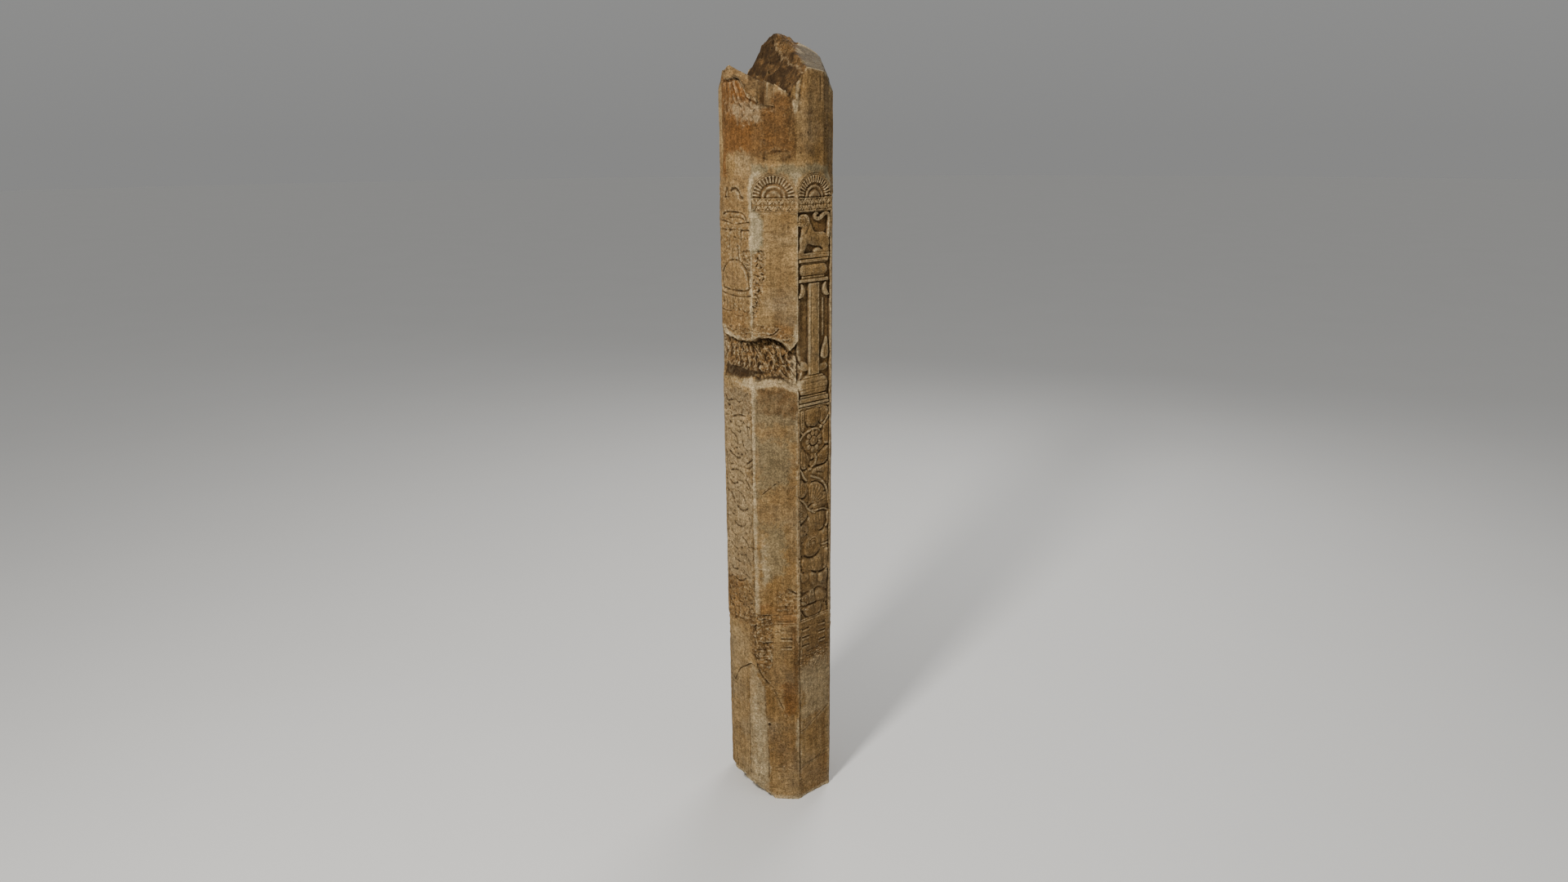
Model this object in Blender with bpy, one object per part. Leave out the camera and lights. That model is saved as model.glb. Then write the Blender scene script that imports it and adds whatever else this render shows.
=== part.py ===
"""Upright of a stupa's stone railing: an eight-sided limestone pillar, carved in
low relief and broken off at the head.

Metres, +Z up. The origin is the middle of the foot, and the plain front face
looks towards -Y. Faces are numbered by eighths of a turn from that front face,
counted anticlockwise from above, so +1 is the face with the lion and -1 the
face with the stupa.
"""

import random
from math import atan2, cos, hypot, pi, radians, sin, tan

import bmesh
import bpy
from mathutils import Matrix, Vector

# Driving sizes
ACROSS_FLATS = 0.340
FOOT_HEIGHT = 0.548
RAIL_HEIGHT = 0.115
SCROLL_HEIGHT = 0.715
PLINTH_HEIGHT = 0.122
COLUMN_HEIGHT = 0.266
CAPITAL_HEIGHT = 0.089
LION_HEIGHT = 0.121
BAND_HEIGHT = 0.041
HEAD_HEIGHT = 0.412
PANEL_DEPTH = 0.008
LOTUS_DEPTH = 0.005
SCROLL_DEPTH = 0.004
WORN_DEPTH = 0.0025
LINE_WIDTH = 0.0035
PANEL_MARGIN = 0.003
LOTUS_MARGIN = 0.004
SPANDREL_DROP = 0.046
PETALS = 11
PLAIN_PETALS = 6
BAND_FLOWERS = 4
PLAIN_BAND_FLOWERS = 3
WHEEL_SPOKES = 8
SPOKE_TURN = 14
CREEPER_TURNS = 5
NOTCH_BELOW_COLUMN = 0.050
NOTCH_HEIGHT = 0.150
NOTCH_DEPTH = 0.045
NOTCH_ROUGHNESS = 0.004
FOOT_CHIP_RISE = 0.070
ARRIS_WEAR_DEPTH = 0.010
STONE_COLOUR = (0.36, 0.25, 0.15, 1.0)
STONE_ROUGHNESS = 0.9

# Worked out from them
SIDES = 8
EIGHTH = 2 * pi / SIDES
INRADIUS = ACROSS_FLATS / 2
ARRIS_RADIUS = INRADIUS / cos(EIGHTH / 2)
FACE_WIDTH = 2 * INRADIUS * tan(EIGHTH / 2)
HALF_FACE = FACE_WIDTH / 2
LOTUS_RADIUS = HALF_FACE - LOTUS_MARGIN
CLEAR = ACROSS_FLATS / 20
ARC_STEPS = 10
PLAIN_STEPS = 7
# Carving is drawn on a grid this many columns wide on each face, and as many
# rows high as its register says, then stretched to the face and the register
COLUMNS = 141
COLUMN = FACE_WIDTH / COLUMNS


class Register:
    """A band of the shaft, with a grid of rows for what is carved in it."""

    def __init__(self, base, height, rows):
        self.base = base
        self.height = height
        self.top = base + height
        self.rows = rows

    def at(self, column, row):
        """The point of the face at a column from its middle and a row of the grid."""
        return (column * COLUMN, self.base + row * self.height / self.rows)

    def points(self, *grid):
        return [self.at(column, row) for column, row in grid]

    def box(self, left, low, right, high):
        return self.points((left, low), (right, low), (right, high), (left, high))


RAIL = Register(FOOT_HEIGHT, RAIL_HEIGHT, 115)
SCROLL = Register(RAIL.top, SCROLL_HEIGHT, 715)
PLINTH = Register(SCROLL.top, PLINTH_HEIGHT, 122)
COLUMN_SHAFT = Register(PLINTH.top, COLUMN_HEIGHT, 266)
CAPITAL = Register(COLUMN_SHAFT.top, CAPITAL_HEIGHT, 89)
LION = Register(CAPITAL.top, LION_HEIGHT, 121)
BAND = Register(LION.top, BAND_HEIGHT, 41)
STUPA_HEIGHT = LION.top - COLUMN_SHAFT.base - COLUMN_HEIGHT * 0.66
STUPA = Register(LION.top - STUPA_HEIGHT, STUPA_HEIGHT, 300)
HEAD = Register(BAND.top + HALF_FACE, HEAD_HEIGHT, 412)
NOTCH_BASE = COLUMN_SHAFT.base - NOTCH_BELOW_COLUMN


# Scene and mesh helpers


def clear_scene():
    for item in list(bpy.data.objects):
        bpy.data.objects.remove(item, do_unlink=True)


def new_collection(name):
    collection = bpy.data.collections.new(name)
    bpy.context.scene.collection.children.link(collection)
    return collection


def stone_material():
    material = bpy.data.materials.new("limestone")
    material.use_nodes = True
    shader = material.node_tree.nodes["Principled BSDF"]
    shader.inputs["Base Color"].default_value = STONE_COLOUR
    shader.inputs["Roughness"].default_value = STONE_ROUGHNESS
    shader.inputs["Metallic"].default_value = 0.0
    return material


def add_object(name, bm, collection):
    """An object of the closed shape in bm, with its faces turned outwards."""
    bmesh.ops.recalc_face_normals(bm, faces=bm.faces)
    mesh = bpy.data.meshes.new(name)
    bm.to_mesh(mesh)
    bm.free()
    item = bpy.data.objects.new(name, mesh)
    collection.objects.link(item)
    return item


def cut(target, cutter):
    cutter.hide_render = True
    cutter.display_type = 'WIRE'
    boolean = target.modifiers.new(cutter.name, 'BOOLEAN')
    boolean.operation = 'DIFFERENCE'
    boolean.solver = 'EXACT'
    boolean.object = cutter


def filled_outline(loops, thickness, collection):
    """A flat solid. A loop inside another is a hole in it."""
    curve = bpy.data.curves.new("outline", 'CURVE')
    curve.dimensions = '2D'
    curve.fill_mode = 'BOTH'
    curve.extrude = thickness / 2
    for loop in loops:
        spline = curve.splines.new('POLY')
        spline.points.add(len(loop) - 1)
        for point, (across, up) in zip(spline.points, loop):
            point.co = (across, up, 0, 1)
        spline.use_cyclic_u = True
    outline = bpy.data.objects.new("outline", curve)
    collection.objects.link(outline)
    bm = bmesh.new()
    bm.from_mesh(evaluated_mesh(outline))
    bpy.data.objects.remove(outline, do_unlink=True)
    bmesh.ops.remove_doubles(bm, verts=bm.verts, dist=1e-6)
    bm.normal_update()
    caps = [face for face in bm.faces if abs(face.normal.z) > 0.5 or face.calc_area() < 1e-9]
    inner = [edge for edge in bm.edges if all(face in caps for face in edge.link_faces)]
    bmesh.ops.beautify_fill(bm, faces=caps, edges=inner)
    return add_object("flat_shape", bm, collection)


def evaluated_mesh(item):
    return bpy.data.meshes.new_from_object(item.evaluated_get(bpy.context.evaluated_depsgraph_get()))


def flat_cutter(name, shapes, depth, placed, collection):
    """A cutter of flat shapes, sunk to a depth below the plane that placed gives. A shape
    is a list of loops: its outline, then what stays standing inside it. Shapes that
    cross are made one."""
    others = new_collection("others")
    cutter = filled_outline(shapes[0], depth + CLEAR, collection)
    for loops in shapes[1:]:
        filled_outline(loops, depth + CLEAR, others)
    if others.objects:
        union = cutter.modifiers.new("union", 'BOOLEAN')
        union.operation = 'UNION'
        union.solver = 'EXACT'
        union.operand_type = 'COLLECTION'
        union.collection = others
        cutter.data = evaluated_mesh(cutter)
        cutter.modifiers.clear()
        for item in list(others.objects):
            bpy.data.objects.remove(item, do_unlink=True)
    bpy.data.collections.remove(others)
    cutter.name = name
    cutter.matrix_world = placed @ Matrix.Translation((0, 0, (CLEAR - depth) / 2))
    return cutter


def face_frame(face):
    """X along the face, Y up, Z out of the stone, with its origin at the face's foot."""
    stand = Matrix.Translation((0, -INRADIUS, 0)) @ Matrix.Rotation(pi / 2, 4, 'X')
    return Matrix.Rotation(face * EIGHTH, 4, 'Z') @ stand


def carve(target, name, face, shapes, depth, collection):
    cut(target, flat_cutter(name, shapes, depth, face_frame(face), collection))


def plane_through(a, b, c, up):
    """A point and the normal of the plane through three points, on the side that up shows."""
    a, b, c = Vector(a), Vector(b), Vector(c)
    normal = (b - a).cross(c - a).normalized()
    if normal.dot(Vector(up)) < 0:
        normal.negate()
    return a, normal


def split_block(name, low, high, planes, collection):
    """A box with what lies beyond each plane taken off."""
    bm = bmesh.new()
    bmesh.ops.create_cube(bm, size=1)
    low, high = Vector(low), Vector(high)
    bmesh.ops.scale(bm, vec=high - low, verts=bm.verts)
    bmesh.ops.translate(bm, vec=(low + high) / 2, verts=bm.verts)
    for point, normal in planes:
        whole = bm.verts[:] + bm.edges[:] + bm.faces[:]
        result = bmesh.ops.bisect_plane(
            bm, geom=whole, plane_co=point, plane_no=normal, clear_outer=True
        )
        rim = [part for part in result["geom_cut"] if isinstance(part, bmesh.types.BMEdge)]
        bmesh.ops.contextual_create(bm, geom=rim)
    return add_object(name, bm, collection)


# Outlines on a face


def arc(centre, radius, start, end, steps=ARC_STEPS):
    """Points of an arc, with its angles in degrees."""
    turns = [radians(start + (end - start) * step / steps) for step in range(steps + 1)]
    return [(centre[0] + radius * cos(turn), centre[1] + radius * sin(turn)) for turn in turns]


def circle(centre, radius, steps=ARC_STEPS):
    return arc(centre, radius, 0, 360, steps)[:-1]


def stroke(path, width=LINE_WIDTH):
    """The outline of a line of a given width drawn along a path."""
    left, right = [], []
    for index, (x, y) in enumerate(path):
        before = path[max(index - 1, 0)]
        after = path[min(index + 1, len(path) - 1)]
        run_x, run_y = after[0] - before[0], after[1] - before[1]
        scale = width / 2 / hypot(run_x, run_y)
        left.append((x - run_y * scale, y + run_x * scale))
        right.append((x + run_y * scale, y - run_x * scale))
    return [left + right[::-1]]


def half_ring(centre, radius, width, start=0, end=180, steps=ARC_STEPS):
    return stroke(arc(centre, radius, start, end, steps), width)


def wedge_line(centre, turn, inner, outer, width):
    """The outline of a radial cut that widens from its inner end to its outer end."""
    out_x, out_y = cos(turn), sin(turn)
    ends = []
    for radius, half in ((inner, width / 5), (outer, width / 2)):
        x, y = centre[0] + radius * out_x, centre[1] + radius * out_y
        ends.append(((x - half * out_y, y + half * out_x), (x + half * out_y, y - half * out_x)))
    return [[ends[0][0], ends[0][1], ends[1][1], ends[1][0]]]


def petal(centre, turn, inner, outer, width):
    """A pointed oval that lies on a radius."""
    along = ((inner, 0), (inner * 0.6 + outer * 0.4, -0.5), (outer, 0), (inner * 0.6 + outer * 0.4, 0.5))
    points = []
    for radius, side in along:
        x = centre[0] + radius * cos(turn) - side * width * sin(turn)
        y = centre[1] + radius * sin(turn) + side * width * cos(turn)
        points.append((x, y))
    return points


# What is carved


def half_lotus(petals, steps=ARC_STEPS):
    """Double rim, petals, ring and boss of the half lotus, as cuts."""
    centre = (0, BAND.top)
    radius = LOTUS_RADIUS
    cuts = [
        half_ring(centre, radius * 0.965, radius * 0.035, 4, 176, steps),
        half_ring(centre, radius * 0.575, radius * 0.085, 3, 177, steps - 2),
        half_ring(centre, radius * 0.325, radius * 0.055, 5, 175, steps - 4),
    ]
    for index in range(petals + 1):
        turn = radians(6 + 168 * index / petals)
        cuts.append(wedge_line(centre, turn, radius * 0.66, radius * 0.91, radius * 0.1))
    return cuts


def flower_band(flowers):
    """A row of four-petalled flowers, left standing in a sunk band."""
    pitch = 2 * LOTUS_RADIUS / flowers
    edge = BAND.height * 0.07
    middle = BAND.base + BAND.height / 2
    half = BAND.height / 2 - edge
    side = LOTUS_RADIUS
    frame = [(-side, middle - half), (side, middle - half), (side, middle + half), (-side, middle + half)]
    loops = [frame]
    for index in range(flowers):
        centre = (-LOTUS_RADIUS + pitch * (index + 0.5), middle)
        lean = atan2(half, pitch / 2)
        reach = hypot(half, pitch / 2) * 0.93
        for turn in (lean, pi - lean, pi + lean, -lean):
            loops.append(petal(centre, turn, reach * 0.12, reach, BAND.height * 0.26))
    return [loops]


def lion():
    """The lion that stands on the capital and looks left, with its raised tail."""
    return LION.points(
        (-65, 1), (-45, 1), (-38, 13), (-28, 25), (-15, 18), (16, 14), (4, 11), (-1, 6), (2, 1),
        (60, 1), (61, 17), (60, 50), (60, 98), (56, 111), (45, 115), (28, 107), (14, 102),
        (8, 104), (8, 110), (1, 112), (-4, 107), (-3, 100), (6, 94), (24, 95), (42, 100), (50, 95),
        (52, 58), (42, 57), (22, 60), (6, 60), (-4, 70), (-12, 82), (-20, 96), (-28, 112),
        (-45, 114), (-58, 112), (-65, 104), (-64, 84), (-66, 75), (-50, 73), (-47, 64), (-54, 58),
        (-57, 49), (-54, 38), (-60, 20),
    )


def wheel(centre, radius):
    """Rim, spokes and hub of a wheel, as the gaps between them."""
    gaps = []
    for index in range(WHEEL_SPOKES):
        start = index * 360 / WHEEL_SPOKES + SPOKE_TURN / 2
        end = (index + 1) * 360 / WHEEL_SPOKES - SPOKE_TURN / 2
        outer = arc(centre, radius * 0.8, start, end, 3)
        inner = arc(centre, radius * 0.32, end, start, 1)
        gaps.append([outer + inner])
    return gaps


def capital():
    """Abacus, bell and ring below the figure."""
    cushion = arc((37, 38), 16, -90, 90, 5) + arc((-41, 38), 16, 90, 270, 5)
    return [
        CAPITAL.box(-66, 74, 62, 88),
        CAPITAL.box(-62, 59, 57, 71),
        CAPITAL.points(*cushion),
        CAPITAL.box(-48, 12, 43, 20),
        CAPITAL.box(-62, 2, 57, 10),
    ]


def column_and_buds():
    """The shaft of the carved column, with the buds and leaf beside it."""
    bud = ((50, 266), (41, 259), (35, 246), (38, 232), (49, 223), (60, 221), (63, 226), (55, 238), (51, 250))
    leaf = ((52, 91), (61, 50), (58, 31), (45, 26), (32, 32), (28, 45), (38, 66))
    return [
        PLINTH.points((-21, 104), (19, 104)) + COLUMN_SHAFT.points((19, 265), (-21, 265)),
        COLUMN_SHAFT.points(*bud),
        COLUMN_SHAFT.points(*[(-column - 2, row) for column, row in bud]),
        COLUMN_SHAFT.points(*leaf),
        COLUMN_SHAFT.box(38, 100, 41, 215),
    ]


def vase_and_steps():
    """The pot that the carved column stands in, on two steps."""
    vase = (
        (-48, 43), (44, 43), (53, 51), (58, 64), (58, 78), (51, 92), (38, 102),
        (-40, 102), (-54, 92), (-60, 76), (-60, 58),
    )
    return [
        PLINTH.points(*vase),
        PLINTH.box(-64, 23, 60, 38),
        PLINTH.box(-66, 3, 62, 18),
    ]


def pillar_panel(figure):
    """The sunk panel with a figure on a capital and column."""
    edge = HALF_FACE - PANEL_MARGIN
    low, high = PLINTH.base, LION.top
    frame = [(-edge, low), (edge, low), (edge, high), (-edge, high)]
    return [[frame, figure, *capital(), *column_and_buds(), *vase_and_steps()]]


def column_lines():
    """The chamfers of the column and the hoops of its pot, cut on what stands."""
    return [
        stroke(COLUMN_SHAFT.points((-14, 4), (-14, 258))),
        stroke(COLUMN_SHAFT.points((14, 4), (14, 258))),
        stroke(PLINTH.points((-57, 79), (54, 79))),
        stroke(PLINTH.points((-57, 58), (54, 58))),
    ]


def lion_lines():
    """Mane, haunch and ribs of the lion."""
    return [
        stroke(LION.points((-26, 100), (-28, 84), (-36, 74), (-44, 72))),
        stroke(LION.points((28, 52), (22, 36), (30, 20), (44, 10))),
        stroke(LION.points((-34, 50), (-42, 36), (-50, 18))),
    ]


def scroll_lines():
    """Frame, rosette, leaves, half lotus, medallion and pot of the long scroll."""
    rosette = (-2, 606)
    fan = (-5, 392)
    lines = [
        ((-62, 708), (-30, 712), (50, 713), (60, 704), (60, 692), (52, 672), (40, 657), (30, 646)),
        ((-41, 700), (-40, 682), (-33, 662), (-18, 655), (0, 652), (12, 657), (20, 667), (26, 682), (23, 700)),
        ((-53, 700), (-57, 682), (-56, 658), (-44, 642)),
        ((-66, 660), (-58, 640), (-48, 630)),
        ((-62, 599), (-50, 620), (-32, 634), (-8, 640), (12, 639), (22, 634)),
        ((-55, 592), (-44, 578), (-35, 570), (-22, 558), (-14, 553)),
        ((62, 580), (48, 575), (34, 565), (20, 556), (10, 551)),
        ((-63, 525), (-52, 515), (-40, 515), (-30, 520)),
        ((-14, 542), (-3, 543)),
        ((6, 546), (6, 536), (0, 528), (-10, 522), (-22, 525)),
        ((-4, 515), (10, 519), (30, 518), (48, 520), (62, 536)),
        ((14, 497), (32, 492)),
        ((-58, 488), (-48, 477), (-34, 472)),
        ((-12, 487), (10, 477), (35, 461), (50, 445), (61, 423)),
        ((-8, 468), (15, 464), (32, 453), (47, 434), (54, 410)),
        ((-66, 429), (-58, 422), (-45, 422), (-34, 427), (-27, 442), (-26, 457)),
        ((-52, 418), (-40, 405), (-31, 390), (-20, 378), (-6, 371), (4, 366), (22, 366), (40, 368), (58, 357)),
        ((-27, 387), (-16, 392), (-6, 393)),
        ((-55, 339), (-40, 345), (-28, 353)),
        ((50, 356), (51, 330), (43, 306), (28, 297)),
        ((-44, 300), (-20, 290), (10, 288), (24, 296)),
        ((-50, 268), (-58, 250), (-56, 230)),
        ((-38, 222), (-18, 214), (5, 216), (24, 226)),
        ((-12, 262), (0, 264), (12, 256)),
        ((36, 242), (58, 244)),
        ((-14, 169), (-2, 163), (12, 156)),
        ((26, 154), (42, 155), (52, 165), (58, 180)),
        ((-52, 126), (-42, 108), (-30, 92)),
        ((-57, 70), (-40, 82), (-24, 79)),
        ((8, 79), (20, 84), (36, 75), (46, 58)),
        ((-45, 49), (-20, 46), (12, 45)),
        ((-54, 46), (-50, 28), (-38, 10), (-28, 5)),
        ((35, 44), (33, 24), (26, 9)),
    ]
    cuts = [stroke(SCROLL.points(*line)) for line in lines]
    centre = SCROLL.at(*rosette)
    cuts.append(half_ring(centre, 17 * COLUMN, LINE_WIDTH, -160, 140, 9))
    for turn in (-140, -95, -50, 0, 45, 90, 135):
        cuts.append(wedge_line(centre, radians(turn), 21 * COLUMN, 29 * COLUMN, LINE_WIDTH))
    centre = SCROLL.at(*fan)
    for turn in (8, 28, 48, 68, 88):
        cuts.append(wedge_line(centre, radians(turn), 22 * COLUMN, 52 * COLUMN, LINE_WIDTH))
    return cuts


def creeper_lines():
    """A plain wavy stem with a rosette in each bend."""
    rise = SCROLL.rows / CREEPER_TURNS
    cuts = []
    for index in range(CREEPER_TURNS):
        side = -1 if index % 2 else 1
        low = index * rise
        bend = ((-side * 8, low + 6), (side * 34, low + rise * 0.2), (side * 52, low + rise * 0.5),
                (side * 34, low + rise * 0.8), (-side * 8, low + rise - 6))
        centre = SCROLL.at(side * 4, low + rise * 0.5)
        cuts.append(stroke(SCROLL.points(*bend)))
        for turn in range(0, 360, 90):
            cuts.append(wedge_line(centre, radians(turn), 10 * COLUMN, 28 * COLUMN, 3 * LINE_WIDTH))
    return cuts


def stupa_lines():
    """Dome, railing, box, staff and parasol of a small stupa, as worn lines."""
    dome = arc((0, 70), 62, 8, 172)
    lines = [
        ((-66, 66), (66, 66)),
        ((-66, 46), (66, 46)),
        dome,
        ((-16, 156), (-16, 178), (-28, 184), (-28, 238)),
        ((15, 156), (15, 178), (23, 184), (23, 238)),
        ((-34, 243), (60, 243)),
        ((-46, 262), (48, 262)),
        ((-44, 270), (-34, 286), (-4, 293), (28, 288), (46, 270)),
    ]
    return [stroke(STUPA.points(*line)) for line in lines]


def worn_scroll_lines():
    """What is left of the scroll on the worn face."""
    lines = [
        ((-50, 700), (-30, 712), (10, 708), (40, 690)),
        ((-44, 640), (-16, 654), (20, 648), (46, 622)),
        ((-52, 560), (-30, 540), (0, 536), (34, 548)),
        ((52, 500), (30, 470), (-6, 462), (-38, 478)),
        ((-50, 420), (-22, 392), (16, 388), (48, 412)),
        ((46, 350), (12, 330), (-30, 336), (-54, 360)),
        ((-46, 262), (-14, 246), (24, 252), (50, 276)),
        ((-50, 180), (-20, 160), (20, 164), (48, 184)),
    ]
    return [stroke(SCROLL.points(*line), LINE_WIDTH * 1.4) for line in lines]


def railing_lines(bars):
    """Coping, post and crossbars of a little railing. Each pair in bars is where the
    crossbars of one side end, the end at the post first."""
    ends = [end for pair in bars for end in pair]
    cuts = [stroke(RAIL.points((min(ends) - 8, 113), (max(ends) + 8, 113)))]
    for inner, outer in bars:
        post = inner * 0.85
        cuts.append(stroke(RAIL.points((post, 84), (post, 4))))
        for row in (88, 57, 27):
            cuts.append(stroke(RAIL.points((inner, row), (outer, row))))
    return cuts


# The stone itself


def prism():
    """The whole eight-sided block, with a flat side towards -Y."""
    bm = bmesh.new()
    height = HEAD.top
    bmesh.ops.create_cone(
        bm, cap_ends=True, segments=SIDES, radius1=ARRIS_RADIUS, radius2=ARRIS_RADIUS, depth=height
    )
    bmesh.ops.rotate(bm, matrix=Matrix.Rotation(EIGHTH / 2, 3, 'Z'), verts=bm.verts)
    bmesh.ops.translate(bm, vec=(0, 0, height / 2), verts=bm.verts)
    return bm


def arris_cutter(name, arris, profile, lean, collection):
    """A cutter across an arris. The profile runs in distance from the axis and height;
    lean turns it about the arris, in degrees. Arris 0 is between faces 0 and 1."""
    turn = (arris + 0.5) * EIGHTH - pi / 2
    at_arris = Matrix.Rotation(turn, 4, 'Z') @ Matrix.Translation((ARRIS_RADIUS, 0, 0))
    upright = Matrix.Rotation(radians(lean), 4, 'Z') @ Matrix.Rotation(pi / 2, 4, 'X')
    loop = [(distance - ARRIS_RADIUS, height) for distance, height in profile]
    half = FACE_WIDTH * 0.36
    placed = at_arris @ upright @ Matrix.Translation((0, 0, (half - CLEAR) / 2))
    return flat_cutter(name, [[loop]], half, placed, collection)


def cut_head_to_sixteen(target, collection):
    """Above the half lotuses each arris is cut back, so that the head has sixteen sides."""
    springing = HEAD.base - SPANDREL_DROP
    slope = (ARRIS_RADIUS - INRADIUS) / SPANDREL_DROP
    profile = (
        (INRADIUS, HEAD.top + CLEAR),
        (INRADIUS, HEAD.base),
        (ARRIS_RADIUS + slope * CLEAR, springing - CLEAR),
        (ARRIS_RADIUS + 2 * CLEAR, springing - CLEAR),
        (ARRIS_RADIUS + 2 * CLEAR, HEAD.top + CLEAR),
    )
    for arris in range(SIDES):
        cut(target, arris_cutter(f"spandrel_{arris}", arris, profile, 0, collection))


def wear_arrises(target, collection):
    """Long flats where an arris has been rubbed or knocked away."""
    # arris, where the flat starts and ends, its depth and each end's taper as shares, lean
    worn = (
        (-1, BAND.base - CAPITAL_HEIGHT, HEAD.base, 0.3, 0.1, 4),
        (-1, -CLEAR, FOOT_HEIGHT * 0.88, 1.3, 0.3, 8),
        (-2, -CLEAR, RAIL.top, 0.8, 0.1, 0),
        (2, FOOT_HEIGHT * 0.5, SCROLL.base + SCROLL_HEIGHT * 0.3, 0.7, 0.2, -6),
        (4, SCROLL.base, SCROLL.top, 0.5, 0.2, 5),
    )
    for index, (arris, low, high, share, taper, lean) in enumerate(worn):
        floor = ARRIS_RADIUS - ARRIS_WEAR_DEPTH * share
        run = (high - low) * taper
        profile = ((ARRIS_RADIUS + CLEAR, low), (ARRIS_RADIUS, low), (floor, low + run),
                   (floor, high - run), (ARRIS_RADIUS, high), (ARRIS_RADIUS + CLEAR, high))
        cut(target, arris_cutter(f"worn_arris_{index}", arris, profile, lean, collection))


def head_point(across, back, up):
    """A landmark of the break: shares of half the width, and of the head's height."""
    return (across * INRADIUS, back * INRADIUS, HEAD.base + up * HEAD_HEIGHT)


def break_head(target, collection):
    """The head is broken into a low fragment in front and a tall one behind it, with
    a valley between them that falls from the back left to the front right."""
    up = (0, 0, 1)
    crest_left = head_point(-0.788, -0.459, 0.739)
    crest_right = head_point(0.353, -0.971, 0.499)
    valley_back = head_point(-0.706, 0.629, 0.515)
    scar_left = head_point(-0.706, -0.706, 0.618)
    shoulder = head_point(-0.953, -0.459, 0.681)
    shoulder_back = head_point(-1.0, 0.0, 0.518)
    wall_right = head_point(0.494, -0.912, 0.674)
    wall_high = head_point(-0.269, 1.0, 0.909)
    wall_low = head_point(-0.544, 1.0, 0.782)
    slope_left = head_point(-0.224, 0.882, 0.907)
    summit = head_point(0.118, 0.988, 0.999)
    bevel_front = head_point(0.559, -0.853, 0.710)
    bevel_back = head_point(0.271, 0.971, 0.951)
    bevel_right = head_point(0.635, 0.776, 0.861)
    drop_top = head_point(0.853, -0.559, 0.691)
    drop_low = head_point(0.997, -0.415, 0.545)
    drop_back = head_point(0.815, 0.599, 0.749)
    low = (-ACROSS_FLATS, -ACROSS_FLATS, HEAD.base)
    high = (ACROSS_FLATS, ACROSS_FLATS, HEAD.top + ACROSS_FLATS)
    front = split_block("front_fragment", low, high, (
        plane_through(crest_left, crest_right, valley_back, up),
        plane_through(crest_left, crest_right, scar_left, up),
        plane_through(crest_left, shoulder, shoulder_back, up),
    ), collection)
    back = split_block("back_fragment", low, high, (
        plane_through(wall_right, wall_high, wall_low, up),
        plane_through(wall_right, slope_left, summit, up),
        plane_through(bevel_front, bevel_back, bevel_right, up),
        plane_through(drop_top, drop_low, drop_back, up),
    ), collection)
    above = HEAD.base + HEAD_HEIGHT / 8
    reach = ACROSS_FLATS * 0.7
    lost = split_block("lost_head", (-reach, -reach, above), (reach, reach, HEAD.top + CLEAR), (), collection)
    cut(lost, front)
    cut(lost, back)
    cut(target, lost)


def break_foot(target, collection):
    """The corner of the foot below the stupa is knocked off."""
    corner = (-INRADIUS, -HALF_FACE, FOOT_CHIP_RISE)
    front = (-HALF_FACE * 0.15, -INRADIUS, 0)
    back = (-INRADIUS, HALF_FACE * 0.85, 0)
    plane = plane_through(corner, front, back, (1, 1, 1))
    low = (-ACROSS_FLATS, -ACROSS_FLATS, -FOOT_CHIP_RISE)
    high = (ACROSS_FLATS, ACROSS_FLATS, 2 * FOOT_CHIP_RISE)
    cut(target, split_block("foot_chip", low, high, (plane,), collection))


def perimeter(place):
    """A point of the shaft's outline; place is in faces from the middle of the front."""
    face = round(place)
    turn = face * EIGHTH
    along = (place - face) * FACE_WIDTH
    x = INRADIUS * sin(turn) + along * cos(turn)
    y = -INRADIUS * cos(turn) + along * sin(turn)
    return Vector((x, y, 0))


def break_notch(target, collection):
    """The rough notch round the front: a loft of sections that follow the shaft."""
    # place round the shaft, rise of its roof, rise of its ledge, depth, as shares
    stations = (
        (-1.80, 0.80, 0.30, 0.05),
        (-1.45, 1.04, 0.08, 0.40),
        (-0.95, 1.03, 0.06, 0.55),
        (-0.50, 1.04, -0.06, 1.05),
        (-0.10, 0.98, 0.03, 0.90),
        (0.30, 0.88, -0.02, 0.75),
        (0.52, 0.72, 0.02, 0.60),
        (0.66, 0.52, 0.30, 0.04),
    )
    between = 3
    shake = random.Random(7)
    bm = bmesh.new()
    rings = []
    for index in range((len(stations) - 1) * between + 1):
        first, part = divmod(index, between)
        start = stations[first]
        end = stations[min(first + 1, len(stations) - 1)]
        place, roof, ledge, depth = (a + (b - a) * part / between for a, b in zip(start, end))
        surface = perimeter(place)
        outward = surface.normalized()
        roof_z = NOTCH_BASE + roof * NOTCH_HEIGHT
        ledge_z = NOTCH_BASE + ledge * NOTCH_HEIGHT
        rise = roof_z - ledge_z
        sunk = depth * NOTCH_DEPTH
        section = (
            (CLEAR, roof_z + rise * 0.05, 0),
            (0, roof_z, 1),
            (-sunk * 0.8, roof_z - rise * 0.08, 1),
            (-sunk, ledge_z + rise * 0.55, 1),
            (-sunk * 0.8, ledge_z + rise * 0.2, 1),
            (0, ledge_z, 0.3),
            (CLEAR, ledge_z - rise * 0.05, 0),
        )
        ring = []
        for off, height, rough in section:
            off += shake.uniform(-1, 1) * NOTCH_ROUGHNESS * rough
            height += shake.uniform(-1, 1) * NOTCH_ROUGHNESS * rough
            ring.append(bm.verts.new(surface + outward * off + Vector((0, 0, height))))
        rings.append(ring)
    for near, far in zip(rings, rings[1:]):
        for index in range(len(near)):
            following = (index + 1) % len(near)
            bm.faces.new((near[index], near[following], far[following], far[index]))
    bm.faces.new(rings[0])
    bm.faces.new(rings[-1])
    bmesh.ops.triangulate(bm, faces=bm.faces)
    cut(target, add_object("notch", bm, collection))


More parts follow.
